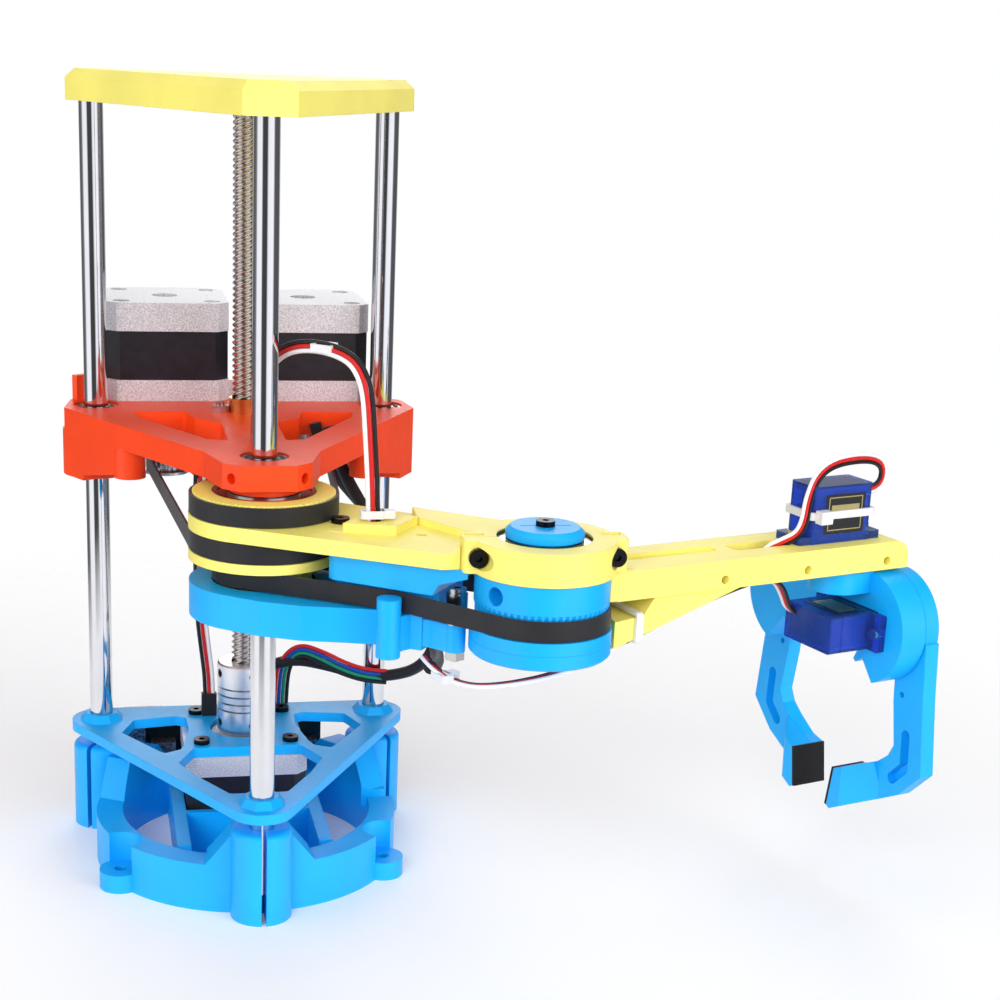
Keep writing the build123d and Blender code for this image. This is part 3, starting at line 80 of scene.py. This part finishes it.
# Small helpers for shader nodes
class Look:
    def __init__(self, name, **sockets):
        self.material = bpy.data.materials.new(name)
        self.material.use_nodes = True
        self.tree = self.material.node_tree
        self.shader = self.tree.nodes["Principled BSDF"]
        for socket, value in sockets.items():
            self.set(self.shader, socket.replace("_", " "), value)
        self.place = self.tree.nodes.new("ShaderNodeTexCoord").outputs["Object"]

    def set(self, node, socket, value):
        if isinstance(value, bpy.types.NodeSocket):
            self.tree.links.new(value, node.inputs[socket])
        else:
            node.inputs[socket].default_value = value

    def add(self, kind, output, settings=(), **sockets):
        node = self.tree.nodes.new("ShaderNode" + kind)
        for name, value in settings:
            setattr(node, name, value)
        for socket, value in sockets.items():
            self.set(node, socket.replace("_", " "), value)
        return node.outputs[output]

    def noise(self, scale, detail=2.0):
        return self.add("TexNoise", "Fac", Vector=self.place, Scale=scale, Detail=detail)

    def spread(self, value, low, high, from_low=0.0, from_high=1.0):
        node = self.tree.nodes.new("ShaderNodeMapRange")
        for socket, amount in (("Value", value), ("From Min", from_low), ("From Max", from_high),
                               ("To Min", low), ("To Max", high)):
            self.set(node, socket, amount)
        return node.outputs["Result"]

    def maths(self, operation, first, second=0.0):
        node = self.tree.nodes.new("ShaderNodeMath")
        node.operation = operation
        self.set(node, 0, first)
        self.set(node, 1, second)
        return node.outputs[0]

    def mix(self, share, first, second):
        node = self.tree.nodes.new("ShaderNodeMix")
        node.data_type = "RGBA"
        self.set(node, 0, share)
        self.set(node, 6, first)
        self.set(node, 7, second)
        return node.outputs[2]

    def bands(self, direction, period, distortion=0.0, vector=None):
        node = self.tree.nodes.new("ShaderNodeTexWave")
        node.bands_direction = direction
        self.set(node, "Vector", vector or self.place)
        self.set(node, "Scale", 2 * math.pi / 20 / period)
        self.set(node, "Distortion", distortion)
        self.set(node, "Detail", 1.0)
        return node.outputs["Fac"]

    def bump(self, height, strength, distance, normal=None):
        node = self.tree.nodes.new("ShaderNodeBump")
        self.set(node, "Height", height)
        self.set(node, "Strength", strength)
        self.set(node, "Distance", distance)
        if normal is not None:
            self.set(node, "Normal", normal)
        return node.outputs["Normal"]

    def colour(self, value):
        self.set(self.shader, "Base Color", value)

    def roughness(self, value):
        self.set(self.shader, "Roughness", value)

    def normal(self, value):
        self.set(self.shader, "Normal", value)


def shade(colour, factor):
    return tuple(min(1.0, channel * factor) for channel in colour[:3]) + (1.0,)


def printed(name, colour, raster):
    # Printed plastic: fine layer lines on the walls, a diagonal raster on level faces
    raster_width = 0.9 * mm
    look = Look(name, Specular_IOR_Level=0.45, Coat_Weight=0.06, Coat_Roughness=0.3)
    patch = look.noise(38.0, 3.0)
    look.colour(look.mix(look.spread(patch, 0.0, 1.0, 0.35, 0.65), shade(colour, 0.94), shade(colour, 1.03)))
    look.roughness(look.spread(look.noise(260.0, 2.0), 0.34, 0.5))
    geometry = look.tree.nodes.new("ShaderNodeNewGeometry")
    split = look.tree.nodes.new("ShaderNodeSeparateXYZ")
    look.tree.links.new(geometry.outputs["Normal"], split.inputs[0])
    level = look.maths("GREATER_THAN", look.maths("ABSOLUTE", split.outputs["Z"]), 0.9)
    turned = look.add("Mapping", "Vector", Vector=look.place, Rotation=(0, 0, math.radians(45)))
    lines = look.bands("X", raster_width, vector=turned)
    layers = look.bands("Z", 0.3 * mm)
    soft = look.add("Bevel", "Normal", settings=(("samples", 4),), Radius=0.35 * mm)
    fine = look.bump(layers, 0.16, 0.03 * mm, soft)
    over = look.bump(look.maths("MULTIPLY", lines, level), raster, 0.12 * mm, fine)
    look.normal(over)
    return look.material


def metal(name, colour, rough, grain=0.0):
    look = Look(name, Metallic=1.0)
    look.colour(look.mix(look.noise(90.0), shade(colour, 0.93), shade(colour, 1.05)))
    look.roughness(look.spread(look.noise(400.0, 3.0), rough * 0.75, rough * 1.3))
    if grain:
        look.normal(look.bump(look.noise(2500.0), grain, 0.05 * mm))
    return look.material


def cast(name):
    # Sand blasted casting with bright specks
    look = Look(name, Metallic=0.35)
    specks = look.noise(2600.0, 1.0)
    coarse = look.noise(900.0, 2.0)
    tone = look.maths("MULTIPLY", look.spread(specks, 0.0, 1.0, 0.3, 0.72), look.spread(coarse, 0.75, 1.1))
    look.colour(look.mix(tone, (0.48, 0.48, 0.52, 1), (0.93, 0.93, 0.97, 1)))
    look.roughness(look.spread(specks, 0.6, 0.34))
    look.normal(look.bump(specks, 0.5, 0.16 * mm))
    return look.material


def laminated(name):
    # Stacked black sheets
    look = Look(name, Specular_IOR_Level=0.4)
    sheets = look.bands("Z", 0.5 * mm)
    look.colour(look.mix(look.noise(300.0), (0.008, 0.008, 0.011, 1), (0.022, 0.022, 0.03, 1)))
    look.roughness(look.spread(sheets, 0.3, 0.42))
    look.normal(look.bump(sheets, 0.25, 0.05 * mm))
    return look.material


def turned(name, colour, rough):
    # Lathe marks round the piece
    look = Look(name, Metallic=1.0, Anisotropic=0.5)
    marks = look.bands("Z", 0.12 * mm, 1.5)
    look.colour(look.mix(look.noise(120.0), shade(colour, 0.92), shade(colour, 1.05)))
    look.roughness(look.spread(marks, rough * 0.8, rough * 1.25))
    look.normal(look.bump(marks, 0.08, 0.02 * mm))
    return look.material


def rubber(name, colour=(0.012, 0.012, 0.014, 1)):
    look = Look(name, Specular_IOR_Level=0.35, Sheen_Weight=0.08)
    grain = look.noise(3200.0, 3.0)
    look.colour(look.mix(look.noise(150.0, 3.0), colour, shade(colour, 1.9)))
    look.roughness(look.spread(grain, 0.42, 0.62))
    look.normal(look.bump(grain, 0.2, 0.05 * mm))
    return look.material


def foam(name):
    look = Look(name, Sheen_Weight=0.15, Specular_IOR_Level=0.2)
    cells = look.add("TexVoronoi", "Distance", Vector=look.place, Scale=1800.0)
    look.colour(look.mix(cells, (0.004, 0.004, 0.005, 1), (0.016, 0.016, 0.018, 1)))
    look.roughness(look.spread(cells, 0.85, 0.98))
    look.normal(look.bump(cells, 0.6, 0.2 * mm))
    return look.material


def smooth_plastic(name, colour, rough, clear=0.0):
    look = Look(name, Specular_IOR_Level=0.5, Transmission_Weight=clear)
    look.colour(look.mix(look.noise(200.0), shade(colour, 0.95), shade(colour, 1.04)))
    look.roughness(look.spread(look.noise(900.0), rough * 0.8, rough * 1.3))
    look.normal(look.bump(look.noise(1200.0), 0.05, 0.05 * mm))
    return look.material


def tinted_case(name):
    # Clear blue moulding
    look = Look(name, Transmission_Weight=0.85, IOR=1.25, Specular_IOR_Level=0.8)
    depth = look.noise(150.0, 2.0)
    look.colour(look.mix(depth, (0.06, 0.17, 0.86, 1), (0.14, 0.32, 1.0, 1)))
    look.roughness(look.spread(look.noise(600.0), 0.06, 0.16))
    look.normal(look.bump(look.noise(700.0), 0.06, 0.08 * mm))
    return look.material


def circuit(name):
    look = Look(name, Specular_IOR_Level=0.5)
    tracks = look.add("TexBrick", "Fac", Vector=look.place, Scale=420.0)
    look.colour(look.mix(tracks, (0.006, 0.012, 0.012, 1), (0.03, 0.05, 0.045, 1)))
    look.roughness(look.spread(look.noise(500.0), 0.25, 0.45))
    look.normal(look.bump(tracks, 0.3, 0.05 * mm))
    return look.material


def tinned(name):
    look = Look(name, Metallic=0.9)
    cells = look.add("TexVoronoi", "Distance", Vector=look.place, Scale=900.0)
    look.colour(look.mix(cells, (0.12, 0.11, 0.1, 1), (0.8, 0.78, 0.74, 1)))
    look.roughness(look.spread(cells, 0.25, 0.5))
    look.normal(look.bump(cells, 0.7, 0.3 * mm))
    return look.material


blue = (0.004, 0.42, 0.95, 1)
yellow = (0.97, 0.86, 0.19, 1)
orange = (0.96, 0.062, 0.006, 1)
looks = {
    "blue_plastic": printed("blue_plastic", blue, 0.12),
    "yellow_plastic": printed("yellow_plastic", yellow, 0.5),
    "orange_plastic": printed("orange_plastic", orange, 0.12),
    "rod_chrome": metal("rod_chrome", (0.80, 0.81, 0.84, 1), 0.07),
    "bearing_steel": metal("bearing_steel", (0.62, 0.61, 0.6, 1), 0.16),
    "tube_steel": turned("tube_steel", (0.6, 0.6, 0.62, 1), 0.25),
    "screw_steel": metal("screw_steel", (0.66, 0.63, 0.6, 1), 0.2),
    "wheel_aluminium": turned("wheel_aluminium", (0.75, 0.75, 0.78, 1), 0.25),
    "coupler_aluminium": turned("coupler_aluminium", (0.93, 0.94, 0.97, 1), 0.32),
    "bell_aluminium": cast("bell_aluminium"),
    "stator_black": laminated("stator_black"),
    "nut_brass": turned("nut_brass", (0.80, 0.50, 0.16, 1), 0.26),
    "black_screws": metal("black_screws", (0.025, 0.025, 0.028, 1), 0.3, 0.15),
    "steel_screws": metal("steel_screws", (0.62, 0.61, 0.6, 1), 0.2),
    "belt_rubber": rubber("belt_rubber"),
    "pad_rubber": foam("pad_rubber"),
    "tie_nylon": smooth_plastic("tie_nylon", (0.88, 0.88, 0.9, 1), 0.3, 0.15),
    "servo_white": smooth_plastic("servo_white", (0.85, 0.85, 0.82, 1), 0.3),
    "servo_case": tinted_case("servo_case"),
    "label_black": smooth_plastic("label_black", (0.008, 0.008, 0.010, 1), 0.25),
    "label_gold": turned("label_gold", (0.72, 0.60, 0.26, 1), 0.35),
    "servo_core": smooth_plastic("servo_core", (0.07, 0.12, 0.34, 1), 0.4),
    "board": circuit("board"),
    "board_parts": tinned("board_parts"),
}
slot_of = {row["node"]: row["material_slot"] for row in frame["record"]["subparts"]}


def dress_nodes():
    for name, node in nodes.items():
        node.data.materials.clear()
        node.data.materials.append(looks[slot_of[name]])


dress_nodes()


# Pieces that are tied to wires running from one body to the other; they are left unattached in world space
held_between = {
    "arm_wires": ("link", "carriage", Vector((30.4, -80.5, 136)) * mm, Vector((0.5, -36, 161)) * mm),
}


def piece(name, points, faces, material, body, smooth=True):
    mesh = bpy.data.meshes.new(name)
    mesh.from_pydata([tuple(point) for point in points], [], faces)
    mesh.validate()
    mesh.update()
    made = bpy.data.objects.new(name, mesh)
    bpy.context.scene.collection.objects.link(made)
    mesh.materials.append(material)
    if smooth:
        mesh.polygons.foreach_set("use_smooth", [True] * len(mesh.polygons))
    if body in held_between:
        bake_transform(made)
    else:
        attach(made, body)
    return made


# Four-start thread of the lead screw, 8 mm of travel to a turn
def lead_screw_thread():
    low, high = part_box("lead_screw")
    centre_x, centre_y = (low.x + high.x) / 2, (low.y + high.y) / 2
    crest, root, pitch, starts = (high.x - low.x) / 2, 3.15 * mm, 2 * mm, 4
    around, step = 40, 0.25 * mm
    rows = round((high.z - low.z) / step)
    points = []
    for row in range(rows + 1):
        z = low.z + (high.z - low.z) * row / rows
        for column in range(around):
            turn = 2 * math.pi * column / around
            phase = (z / pitch - starts * column / around) % 1.0
            rise = min(1.0, max(0.0, 0.5 + 3.2 * (abs(phase - 0.5) - 0.25)))
            radius = root + (crest - root) * (1 - rise)
            points.append((centre_x + radius * math.cos(turn), centre_y + radius * math.sin(turn), z))
    faces = []
    for row in range(rows):
        for column in range(around):
            after = (column + 1) % around
            a, b = row * around + column, row * around + after
            faces.append((a, b, b + around, a + around))
    faces.append(tuple(reversed(range(around))))
    faces.append(tuple(rows * around + column for column in range(around)))
    thread = piece("lead_screw_thread", points, faces, looks["screw_steel"], "screw")
    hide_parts("lead_screw")


lead_screw_thread()


# Wires: each route is a list of points in millimetres
wire_d = 1.4 * mm
servo_wire_d = 1.2 * mm
bundle_d = 4.2 * mm
strand_pitch = 1.04
wire_white = smooth_plastic("wire_white", (0.85, 0.85, 0.86, 1), 0.35)
wire_red = smooth_plastic("wire_red", (0.62, 0.012, 0.012, 1), 0.35)
wire_black = smooth_plastic("wire_black", (0.012, 0.012, 0.014, 1), 0.35)
wire_blue = smooth_plastic("wire_blue", (0.01, 0.07, 0.42, 1), 0.35)
wire_green = smooth_plastic("wire_green", (0.01, 0.25, 0.14, 1), 0.35)
wrap = rubber("cable_wrap", (0.010, 0.010, 0.012, 1))


def line(name, points, diameter, material):
    curve = bpy.data.curves.new(name, "CURVE")
    curve.dimensions = "3D"
    curve.bevel_depth = diameter / 2
    curve.bevel_resolution = 4
    curve.resolution_u = 10
    spline = curve.splines.new("NURBS")
    spline.points.add(len(points) - 1)
    for knot, point in zip(spline.points, points):
        knot.co = (*point, 1.0)
    spline.order_u = 3
    spline.use_endpoint_u = True
    curve.use_fill_caps = True
    curve.materials.append(material)
    made = bpy.data.objects.new(name, curve)
    bpy.context.scene.collection.objects.link(made)
    return made


def tube(strand):
    # Mesh of a curve, and the points of the line that it follows
    bare = strand.copy()
    bare.data = strand.data.copy()
    bare.data.bevel_depth = 0.0
    bpy.context.scene.collection.objects.link(bare)
    follow = [vertex.co.copy() for vertex in bpy.data.meshes.new_from_object(bare).vertices]
    mesh = bpy.data.meshes.new_from_object(strand)
    name = strand.name
    bpy.data.objects.remove(bare)
    bpy.data.objects.remove(strand)
    made = bpy.data.objects.new(name, mesh)
    bpy.context.scene.collection.objects.link(made)
    mesh.polygons.foreach_set("use_smooth", [True] * len(mesh.polygons))
    return made, follow


def beside(points, facing, shift):
    # The same route moved sideways, square to its own direction and to "facing"
    moved = []
    for index, point in enumerate(points):
        ahead = points[min(index + 1, len(points) - 1)] - points[max(index - 1, 0)]
        moved.append(point + ahead.cross(facing).normalized() * shift)
    return moved


def wires(name, route, facing, colours, bodies, diameter=wire_d):
    # Wires side by side; on two bodies they are made into meshes and left unattached in world space, on one
    # body they are attached to it
    points = [Vector(point) * mm for point in route]
    middle = (len(colours) - 1) / 2
    for index, material in enumerate(colours):
        shift = (index - middle) * diameter * strand_pitch
        strand_points = beside(points, Vector(facing).normalized(), shift)
        strand = line(f"{name}_{index + 1}", strand_points, diameter, material)
        path = None
        if len(bodies) == 2:
            strand, path = tube(strand)
            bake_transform(strand)
        else:
            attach(strand, bodies[0])


def bar(name, centre, size, material, body, turn=0.0, soft=0.15):
    # A small block, sizes in millimetres; its edges are softened where it rides one body
    half = [side / 2 * mm for side in size]
    points = [(x * half[0], y * half[1], z * half[2]) for x in (-1, 1) for y in (-1, 1) for z in (-1, 1)]
    faces = [(0, 1, 3, 2), (4, 6, 7, 5), (0, 4, 5, 1), (2, 3, 7, 6), (0, 2, 6, 4), (1, 5, 7, 3)]
    place = Matrix.Translation(Vector(centre) * mm) @ Matrix.Rotation(turn, 4, "Z")
    corners = [place @ Vector(point) for point in points]
    made = piece(name, corners, faces, material, body, smooth=False)
    if body not in held_between:
        edge = made.modifiers.new("edge", "BEVEL")
        edge.width = soft * mm
        edge.segments = 2
    return made


fore_turn = math.radians(17.0)
elbow_x, elbow_y = 75.52, -111.14


def fore(along, left, z):
    # A point in the forearm's own directions, in millimetres from the elbow's axis
    return (elbow_x + along * math.cos(fore_turn) - left * math.sin(fore_turn),
            elbow_y + along * math.sin(fore_turn) + left * math.cos(fore_turn), z)


tie_t = 0.9
tie_h = 2.4
tie_head = (4.2, 3.4)


def loop_tie(name, centre, long, wide, body, turn=0.0):
    # A closed cable tie lying level round a few wires, with its head
    x, y, z = centre
    side_x, side_y = math.cos(turn), math.sin(turn)
    sides = ((0, wide / 2, long, tie_t), (0, -wide / 2, long, tie_t), (long / 2, 0, tie_t, wide),
             (-long / 2, 0, tie_t, wide), (long / 2 + 1.5, 0, *tie_head))
    for row, (dx, dy, size_x, size_y) in enumerate(sides):
        spot = (x + dx * side_x - dy * side_y, y + dx * side_y + dy * side_x, z)
        bar(f"{name}_{row + 1}", spot, (size_x, size_y, tie_h), looks["tie_nylon"], body, turn)


plug_size = (5.4, 3.0, 8.4)


def arm_wiring():
    three = (wire_white, wire_red, wire_black)
    toward = (0, -1, 0.3)
    joint = bar("arm_connector", (0.5, -36, 157.6), plug_size, wrap, "carriage")
    wires("arm_wire", [(30.4, -80.5, 136), (29.8, -80.5, 150), (28.6, -80.5, 166), (28, -79, 176),
                       (26.4, -76, 182.5), (23, -72, 186.5), (16.4, -64, 188), (9, -56, 187),
                       (3.5, -46, 182), (0.8, -39, 174), (0.5, -36, 166), (0.5, -36, 161)],
          toward, three, ("link", "carriage"))
    loop_tie("arm_tie_top", (16.6, -64.4, 187.6), 3.4, 6.4, "arm_wires", math.radians(50))
    loop_tie("arm_tie_low", (29.9, -80.6, 140.6), 6.4, 3.6, "link")
    plug = bar("base_connector", (-11, 28, 43.4), plug_size, wrap, "base")
    wires("lift_wire", [(-15.5, -2, 145), (-16, -1, 134), (-16, 4, 120), (-15.5, 10, 105), (-15, 17, 90),
                        (-14, 23, 77), (-12.5, 27, 65), (-11, 28, 53), (-11, 28, 46)],
          toward, three, ("carriage", "base"))


arm_wiring()


def servo_wiring():
    across = Vector(fore(0, -1, 0)) - Vector(fore(0, 0, 0))
    route = [fore(*spot) for spot in ((116.5, 2.3, 145.2), (121.5, 2.1, 144.9), (126.3, 1.8, 147),
                                      (126, 1.3, 153.4), (119, 0.9, 156.2), (105, -0.4, 156),
                                      (96.6, -2, 152.6), (93, -3, 145.5), (92.2, -3.2, 138.5),
                                      (90.6, -2.4, 134), (86.5, -0.6, 131.6), (81, 1.2, 129),
                                      (77, 2.3, 123))]
    wires("wrist_wire", route, across, (wire_black, wire_red, wire_white), ("forearm",),
          diameter=servo_wire_d)
    low = Vector((0, 0, -1))
    route = [fore(*spot) for spot in ((101.5, 9, 104.5), (98.5, 9, 106), (96.2, 8.6, 111), (92, 7, 116),
                                      (84, 3.5, 119.4), (70, -1, 119.2), (54, -2.2, 115.6),
                                      (38, -2.2, 110.2), (28, -2.2, 106.6))]
    wires("grip_wire", route, low, (wire_white, wire_red, wire_black), ("gripper", "forearm"),
          diameter=servo_wire_d)
    route = [fore(28, -2.2, 106.6), fore(16, -2, 102.6), fore(4, -4, 99.5), (64, -112, 96), (54, -108, 95),
             (46, -104, 98.5), (44, -98, 101)]
    wires("elbow_wire", route, (0.2, 0, 1), (wire_white, wire_red, wire_black), ("forearm", "link"),
          diameter=servo_wire_d)
    loop_tie("elbow_tie", (48, -105.6, 97.2), 3.2, 6.2, "link", math.radians(25))


servo_wiring()


label_t = 0.12
label_soft = 0.02


def label(name, centre, size, look, body):
    bar(name, centre, size, looks[look], body, fore_turn, label_soft)


def labels():
    # Plain black and gold labels on the two small servos
    face = -3.86
    front = face - label_t / 2
    middle, long, high, thin, raised = 107.4, 13.2, 10.6, 0.35, 0.1
    label("wrist_label", fore(middle, face, 139.9), (15.4, label_t, 12.6), "label_black", "forearm")
    label("wrist_label_panel", fore(middle, front, 140.6), (11.0, raised, 4.4), "label_gold", "forearm")
    lines = ((middle, 145.2, long, thin), (middle, 134.8, long, thin), (100.9, 140, thin, high),
             (113.9, 140, thin, high))
    for row, (along, z, size_x, size_z) in enumerate(lines):
        label(f"wrist_label_line_{row + 1}", fore(along, front, z), (size_x, raised, size_z), "label_gold",
              "forearm")
    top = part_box("grip_servo_case")[1].z / mm
    label("grip_label", fore(110.6, 0.3, top + label_t / 2), (12.6, 16.4, label_t), "label_black", "gripper")
    label("grip_label_panel", fore(110.6, 0.3, top + label_t), (7.4, 13.0, raised), "label_gold", "gripper")


labels()


def base_wiring():
    # Wrapped bundles from the carriage down to the board and over to the arm, and the motor's ribbon
    down = [(24, 12, 150), (27, 11, 138), (34, 10, 129), (44, 9, 118), (56, 8, 104), (66, 8, 86),
            (69, 10, 70), (64, 15, 59), (54, 22, 54), (44, 26, 53.5), (32, 29.5, 56.5), (20, 33.5, 58),
            (9, 38.5, 53), (5, 42, 44)]
    over = [(28, 6, 150), (31, 4, 138), (40, -6, 122), (50, -22, 106), (55, -42, 96), (54, -66, 92.5),
            (50, -88, 94.5), (45, -102, 99)]
    for name, route, bodies, length in (("cable_bundle", down, ("carriage", "base"), 0.176),
                                        ("arm_bundle", over, ("carriage", "link"), 0.142)):
        points = [Vector(point) * mm for point in route]
        bundle, path = tube(line(name, points, bundle_d, wrap))
        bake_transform(bundle)
    ribbon = [(16, 39.5, 32), (16, 37.5, 45), (17, 35, 56), (22, 30, 63), (30, 26, 60.5), (37, 24, 57),
              (46, 22.5, 54.2), (53, 21.5, 54)]
    wires("motor_wire", ribbon, (0, -1, 0.1), (wire_red, wire_blue, wire_green, wire_black),
          ("base",))


base_wiring()


# Floor that fades into the white background, and soft studio lights
def floor_look():
    look = Look("floor", Roughness=0.6, Specular_IOR_Level=0.2, Emission_Color=(1, 1, 1, 1),
                Emission_Strength=0.10)
    look.colour(look.mix(look.noise(3.0), (0.90, 0.90, 0.90, 1), (0.93, 0.93, 0.93, 1)))
    far = look.add("VectorMath", "Value", settings=(("operation", "LENGTH"),), Vector=look.place)
    fade = look.spread(far, 0.0, 1.0, 0.22, 0.42)
    tree = look.tree
    clear = tree.nodes.new("ShaderNodeBsdfTransparent")
    mixed = tree.nodes.new("ShaderNodeMixShader")
    tree.links.new(fade, mixed.inputs[0])
    tree.links.new(look.shader.outputs[0], mixed.inputs[1])
    tree.links.new(clear.outputs[0], mixed.inputs[2])
    tree.links.new(mixed.outputs[0], tree.nodes["Material Output"].inputs["Surface"])
    return look.material


def backdrop():
    # White to the camera; dark and bright upright strips for the rods to mirror
    world = bpy.data.worlds.new("studio")
    bpy.context.scene.world = world
    world.use_nodes = True
    tree = world.node_tree
    tree.nodes.clear()
    out = tree.nodes.new("ShaderNodeOutputWorld")
    mixed = tree.nodes.new("ShaderNodeMixShader")
    path = tree.nodes.new("ShaderNodeLightPath")
    seen = tree.nodes.new("ShaderNodeBackground")
    seen.inputs["Color"].default_value = (1, 1, 1, 1)
    seen.inputs["Strength"].default_value = 1.0
    lit = tree.nodes.new("ShaderNodeBackground")
    lit.inputs["Strength"].default_value = 0.95
    place = tree.nodes.new("ShaderNodeTexCoord")
    wave = tree.nodes.new("ShaderNodeTexGradient")
    wave.gradient_type = "RADIAL"
    ramp = tree.nodes.new("ShaderNodeValToRGB")
    tree.links.new(place.outputs["Generated"], wave.inputs["Vector"])
    tree.links.new(wave.outputs["Fac"], ramp.inputs["Fac"])
    stops = ramp.color_ramp.elements
    stops[0].position, stops[0].color = 0.0, (1.1, 1.1, 1.12, 1)
    stops[1].position, stops[1].color = 1.0, (0.5, 0.5, 0.52, 1)
    for position, tone in ((0.12, 1.15), (0.15, 0.07), (0.25, 0.06), (0.285, 1.1), (0.40, 1.2), (0.44, 0.12),
                           (0.60, 0.10), (0.66, 0.6), (0.80, 0.6), (0.85, 0.12), (0.95, 0.15)):
        stop = stops.new(position)
        stop.color = (tone, tone, tone * 1.04, 1)
    tree.links.new(ramp.outputs["Color"], lit.inputs["Color"])
    tree.links.new(path.outputs["Is Camera Ray"], mixed.inputs[0])
    tree.links.new(lit.outputs[0], mixed.inputs[1])
    tree.links.new(seen.outputs[0], mixed.inputs[2])
    tree.links.new(mixed.outputs[0], out.inputs["Surface"])


def studio():
    mesh = bpy.data.meshes.new("floor")
    reach = 3.0
    mesh.from_pydata([(-reach, -reach, 0), (reach, -reach, 0), (reach, reach, 0), (-reach, reach, 0)], [],
                     [(0, 1, 2, 3)])
    floor = bpy.data.objects.new("floor", mesh)
    bpy.context.scene.collection.objects.link(floor)
    mesh.materials.append(floor_look())
    backdrop()
    aim = Vector((0.06, -0.02, 0.12))
    for name, spot, size, power in (("key", (-0.75, -1.6, 0.75), 1.0, 21.0),
                                    ("fill", (1.2, -1.2, 0.45), 1.0, 13.0),
                                    ("top", (0.1, 0.1, 1.7), 1.2, 3.5),
                                    ("back", (0.3, 1.5, 0.9), 1.0, 6.0)):
        light = bpy.data.lights.new(name, "AREA")
        light.size = size
        light.energy = power
        holder = bpy.data.objects.new(name, light)
        bpy.context.scene.collection.objects.link(holder)
        holder.location = spot
        holder.rotation_mode = "QUATERNION"
        holder.rotation_quaternion = (aim - Vector(spot)).to_track_quat("-Z", "Y")
        holder.visible_glossy = name == "back"
    bpy.context.scene.view_settings.view_transform = "Standard"


studio()
